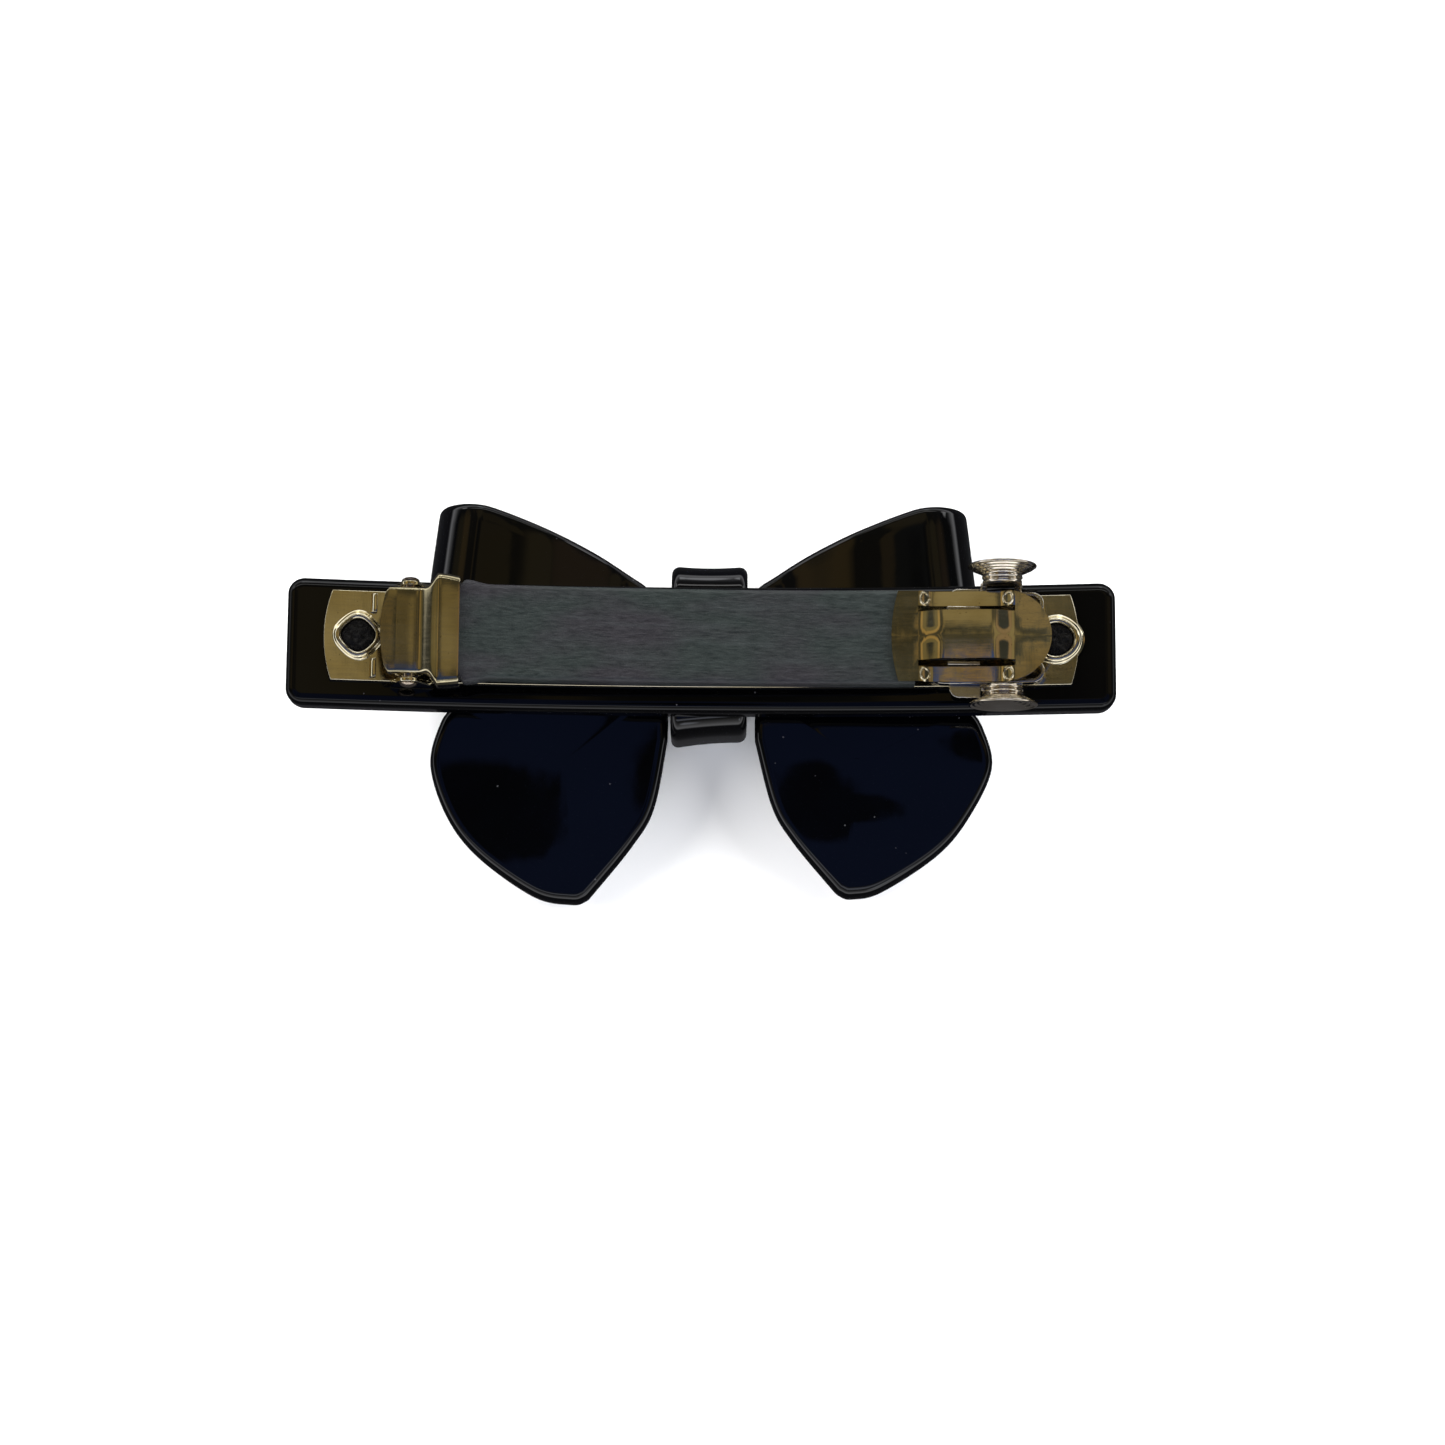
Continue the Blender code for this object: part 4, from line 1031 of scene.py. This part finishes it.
def make_disc(name, side, body):
    """A turned finger pad: ringed neck, flared saucer with fine ridges and a dished outer face."""
    low, high = box_of(name)
    face = [(0.02, 1.56), (0.7, 1.54)] + [(radius, disc_face(radius)) for radius in steps(1.2, 3.35, 22)]
    rim = [(3.5, 2.1), (3.61, 2.06), (3.65, 1.96), (3.6, 1.86)]
    flank = [(radius, disc_flank(radius)) for radius in steps(3.5, 2.4, 16)]
    neck = [
        (2.2, 1.14), (2.03, 0.97), (2.13, 0.86), (2.16, 0.74), (2.1, 0.62), (1.96, 0.5),
        (2.06, 0.38), (2.11, 0.26), (2.04, 0.1), (1.9, 0.0), (0.02, 0.0),
    ]
    points = smooth_curve(face + rim + flank + neck, 3)
    profile = [(radius * MM, side * (DISC_START + along) * MM) for radius, along in points]
    place = (DISC_X, CLASP_Y, (low.z + high.z) / 2)
    bm = grid(turned_rows(profile, place, 96), close_rows=True)
    new_piece(f"{name}_pad", bm, DISC_LOOK, body, [name], 55)


def dress_hidden_nodes():
    """The spring and the bracket keep their CAD shape, and get the sprung metal's look."""
    for name in ("tension_bar", "catch_bracket"):
        mesh = frame["nodes"][name].data
        mesh.materials.clear()
        mesh.materials.append(SPRING_LOOK)


# ---------------------------------------------------------------- stage

FLOOR_HALF = 3.0
FLOOR_Z = -0.00002


def make_stage():
    bm = grid([[(x, y, FLOOR_Z) for x in (-FLOOR_HALF, FLOOR_HALF)] for y in (-FLOOR_HALF, FLOOR_HALF)])
    floor = link_mesh("floor", bm)
    floor.data.materials.append(FLOOR_LOOK)
    floor.visible_glossy = False


class Room(Nodes):
    """The surroundings seen in reflections: a base gradient with soft patches laid over it."""

    def __init__(self, stops):
        """Stops are (sine of the height above the horizon, colour)."""
        world = bpy.data.worlds.new("room")
        bpy.context.scene.world = world
        world.use_nodes = True
        super().__init__(world.node_tree)
        self.direction = self.add("ShaderNodeTexCoord").outputs["Generated"]
        self.up = self.fill(self.add("ShaderNodeSeparateXYZ"), Vector=self.direction).outputs["Z"]
        self.warp = self.clouds(self.direction, 4.5, 3)
        ramp = self.fill(self.add("ShaderNodeValToRGB"), Fac=self.up)
        elements = ramp.color_ramp.elements
        for element, (position, color) in zip(elements, (stops[0], stops[-1])):
            element.position = position
            element.color = (*color, 1)
        for position, color in stops[1:-1]:
            elements.new(position).color = (*color, 1)
        self.color = ramp.outputs["Color"]

    def lay(self, amount, color):
        """Mixes a colour over what is there, by the amount."""
        self.color = self.mix(amount, self.color, color)

    def ease(self, value, low, high):
        return self.between(value, low, high, interpolation_type="SMOOTHSTEP")

    def ragged_edge(self, value, ragged):
        return self.number("MULTIPLY_ADD", self.warp, ragged, value)

    def mottle(self, scale, limits, color):
        """Uneven patches overhead, where the flat metal looks."""
        clouds = self.clouds(self.direction, scale, 1)
        self.lay(self.number("MULTIPLY", self.ease(clouds, *limits), self.ease(self.up, 0.80, 0.93)), color)

    def patch(self, lean_x, lean_y, angle, blur, color, ragged=0.02):
        """A soft round patch with an uneven edge, by degrees from straight up towards +X and +Y."""
        middle = Vector((math.tan(math.radians(lean_x)), math.tan(math.radians(lean_y)), 1)).normalized()
        dot = self.vector("DOT_PRODUCT", self.direction, middle, output="Value")
        edge = math.cos(math.radians(angle + blur)) + ragged / 2
        core = math.cos(math.radians(max(angle - blur, 0))) + ragged / 2
        self.lay(self.ease(self.ragged_edge(dot, ragged), edge, core), color)

    def oval(self, lean_x, lean_y, half_x, half_y, color, blur=0.3, ragged=0.3):
        """A soft oval patch overhead: its middle and half sizes are in degrees from straight up."""
        size_x, size_y = math.radians(half_x), math.radians(half_y)
        shift_x, shift_y = -math.tan(math.radians(lean_x)) / size_x, -math.tan(math.radians(lean_y)) / size_y
        flat = self.vector("DIVIDE", self.direction, self.up)
        place = self.vector("MULTIPLY_ADD", flat, (1 / size_x, 1 / size_y, 0.0), (shift_x, shift_y, 0.0))
        reach = self.vector("LENGTH", place, output="Value")
        inside = self.number("SUBTRACT", 1 + ragged / 2, self.ragged_edge(reach, ragged))
        above = self.ease(self.up, 0.02, 0.1)
        self.lay(self.number("MULTIPLY", self.ease(inside, -blur, blur), above), color)

    def finish(self):
        self.fill(self.tree.nodes["Background"], Color=self.color)


def make_world():
    """A dim room over a pale table: olive overhead, blue daylight at the front, windows low down."""
    room = Room([
        (0.0, (0.06, 0.06, 0.065)), (0.03, (0.30, 0.31, 0.33)), (0.12, (2.00, 2.02, 2.06)),
        (0.34, (0.80, 0.80, 0.81)), (0.55, (0.14, 0.14, 0.13)), (0.80, (0.070, 0.064, 0.045)),
        (1.0, (0.070, 0.062, 0.036)),
    ])
    for side in (-1, 1):
        room.patch(side * 55, 5, 24, 6, (0.040, 0.042, 0.036), 0.1)
    room.mottle(9.0, (0.50, 0.56), (0.20, 0.155, 0.070))
    add_brown_patches(room)
    add_clasp_patches(room)
    add_tail_patches(room)
    add_windows(room)
    room.finish()


def add_brown_patches(room):
    """What the loops' rolled ends show."""
    room.patch(38, 12, 8, 6, (0.27, 0.19, 0.10), 0.04)
    room.patch(-38, 13, 8, 6, (0.42, 0.29, 0.11), 0.04)
    room.patch(-52, 17, 8, 5, (0.20, 0.165, 0.08))


def add_clasp_patches(room):
    """Gold over the left plate, the ferrule and the upper rail; olive, gold and black over the bridge."""
    warm = (0.26, 0.205, 0.095)
    room.oval(18, 12, 10, 7, warm, 0.25)
    room.oval(-4, 20, 6, 4.5, warm)
    room.oval(-4.5, 10.5, 1.6, 5.2, (0.070, 0.070, 0.052), ragged=0.4)
    room.oval(-2.6, 10.8, 1.0, 3.0, (0.038, 0.036, 0.024), 0.35, 0.4)
    room.oval(-7.6, 12, 1.7, 3.0, (0.25, 0.18, 0.08))
    room.oval(-12, 9, 1.6, 1.4, (0.030, 0.024, 0.018), 0.4)


def add_tail_patches(room):
    """Blue for the tails, gold for the lower rail, then the black areas in the blue."""
    dark = (0.012, 0.013, 0.015)
    room.oval(0, -24, 36, 30.5, (0.055, 0.085, 0.22), 0.02, 0.03)
    room.oval(-4, 2.6, 2.4, 2.0, (0.20, 0.150, 0.070))
    room.oval(-5.2, 2.6, 0.8, 1.2, (0.42, 0.26, 0.08), 0.25, 0.2)
    room.oval(-0.3, -22, 2.7, 13.5, dark, 0.10, 0.5)
    room.oval(2.5, -23, 1.7, 5.0, dark, 0.12, 0.5)
    room.oval(7.2, -4, 1.5, 5.0, dark, 0.15, 0.5)
    room.oval(-9.5, -8, 1.6, 14.0, dark, 0.2, 0.5)


def add_windows(room):
    """Bright areas low down, seen along the rounded rims."""
    room.oval(0, 42, 40, 4.0, (3.0, 3.0, 2.9), ragged=0.1)
    room.oval(0, -50, 45, 8, (1.25, 1.32, 1.50), ragged=0.1)
    room.patch(0, 70, 5, 2, (3.2, 3.3, 3.4))
    room.patch(-52, 50, 6, 2, (2.8, 2.8, 2.8))
    room.patch(55, 45, 6, 2, (2.8, 2.8, 2.8))
    room.patch(30, -66, 5, 2, (2.0, 2.1, 2.3))


SOFTBOXES = (
    ("left_softbox", (-0.55, 0.15, 0.40), (0.5, 0.5), 5.6, (1.0, 0.99, 0.97)),
    ("right_softbox", (0.55, 0.20, 0.42), (0.5, 0.5), 5.6, (0.98, 0.99, 1.0)),
    ("back_softbox", (0.0, 0.62, 0.36), (0.9, 0.3), 5.2, (1.0, 1.0, 1.0)),
    ("front_softbox", (0.0, -0.62, 0.34), (0.9, 0.25), 4.4, (0.95, 0.97, 1.0)),
)
LIGHT_AIM = Vector((0, 0, 0.01))


def add_light(name, place, size, power, color):
    """A soft area light, kept out of the reflections, which the room alone gives."""
    data = bpy.data.lights.new(name, "AREA")
    data.shape = "RECTANGLE"
    data.size, data.size_y = size
    data.energy = power
    data.color = color
    light = bpy.data.objects.new(name, data)
    light.location = place
    light.rotation_euler = (LIGHT_AIM - Vector(place)).to_track_quat("-Z", "Y").to_euler()
    light.visible_glossy = False
    bpy.context.scene.collection.objects.link(light)


CAMERA_LEAN = math.radians(9.5)
CAMERA_ROLL = math.radians(0.4)
CAMERA_DISTANCE = 0.35
CAMERA_TARGET = Vector((2.72 * MM, BAR_Y - 8.25 * MM, PLATE_TOP + 0.8 * MM))
VIEW_WIDTH = 0.15355
SENSOR_WIDTH = 36


def make_camera():
    """Above the barrette, leaning from its -Y side."""
    data = bpy.data.cameras.new("camera")
    data.sensor_width = SENSOR_WIDTH
    data.lens = SENSOR_WIDTH * CAMERA_DISTANCE / VIEW_WIDTH
    data.clip_start = 0.01
    camera = bpy.data.objects.new("camera", data)
    away = Vector((0, -math.sin(CAMERA_LEAN), math.cos(CAMERA_LEAN)))
    camera.location = CAMERA_TARGET + CAMERA_DISTANCE * away
    camera.rotation_euler = (CAMERA_LEAN, 0, CAMERA_ROLL)
    bpy.context.scene.collection.objects.link(camera)
    bpy.context.scene.camera = camera


make_bar()
make_loop("loop_left", -1)
make_loop("loop_right", 1)
make_tail("tail_left", -1, slim=0.45, length=1.015, trim=0.0, hollow=0.35 * MM)
make_tail("tail_right", 1, slim=0.0, length=0.97, trim=0.6, hollow=-0.15 * MM)
make_knot()
make_base_plate()
make_pin()
make_yoke()
make_arm()
make_cap()
for label, side in (("upper", 1), ("lower", -1)):
    make_leg(f"leg_{label}", side, f"catch_leg_{label}")
for label, side in (("upper", 1), ("lower", -1)):
    make_disc(f"pinch_disc_{label}", side, f"catch_leg_{label}")
dress_hidden_nodes()
make_stage()
make_world()
for softbox in SOFTBOXES:
    add_light(*softbox)
bpy.context.scene.view_settings.view_transform = "Standard"
make_camera()
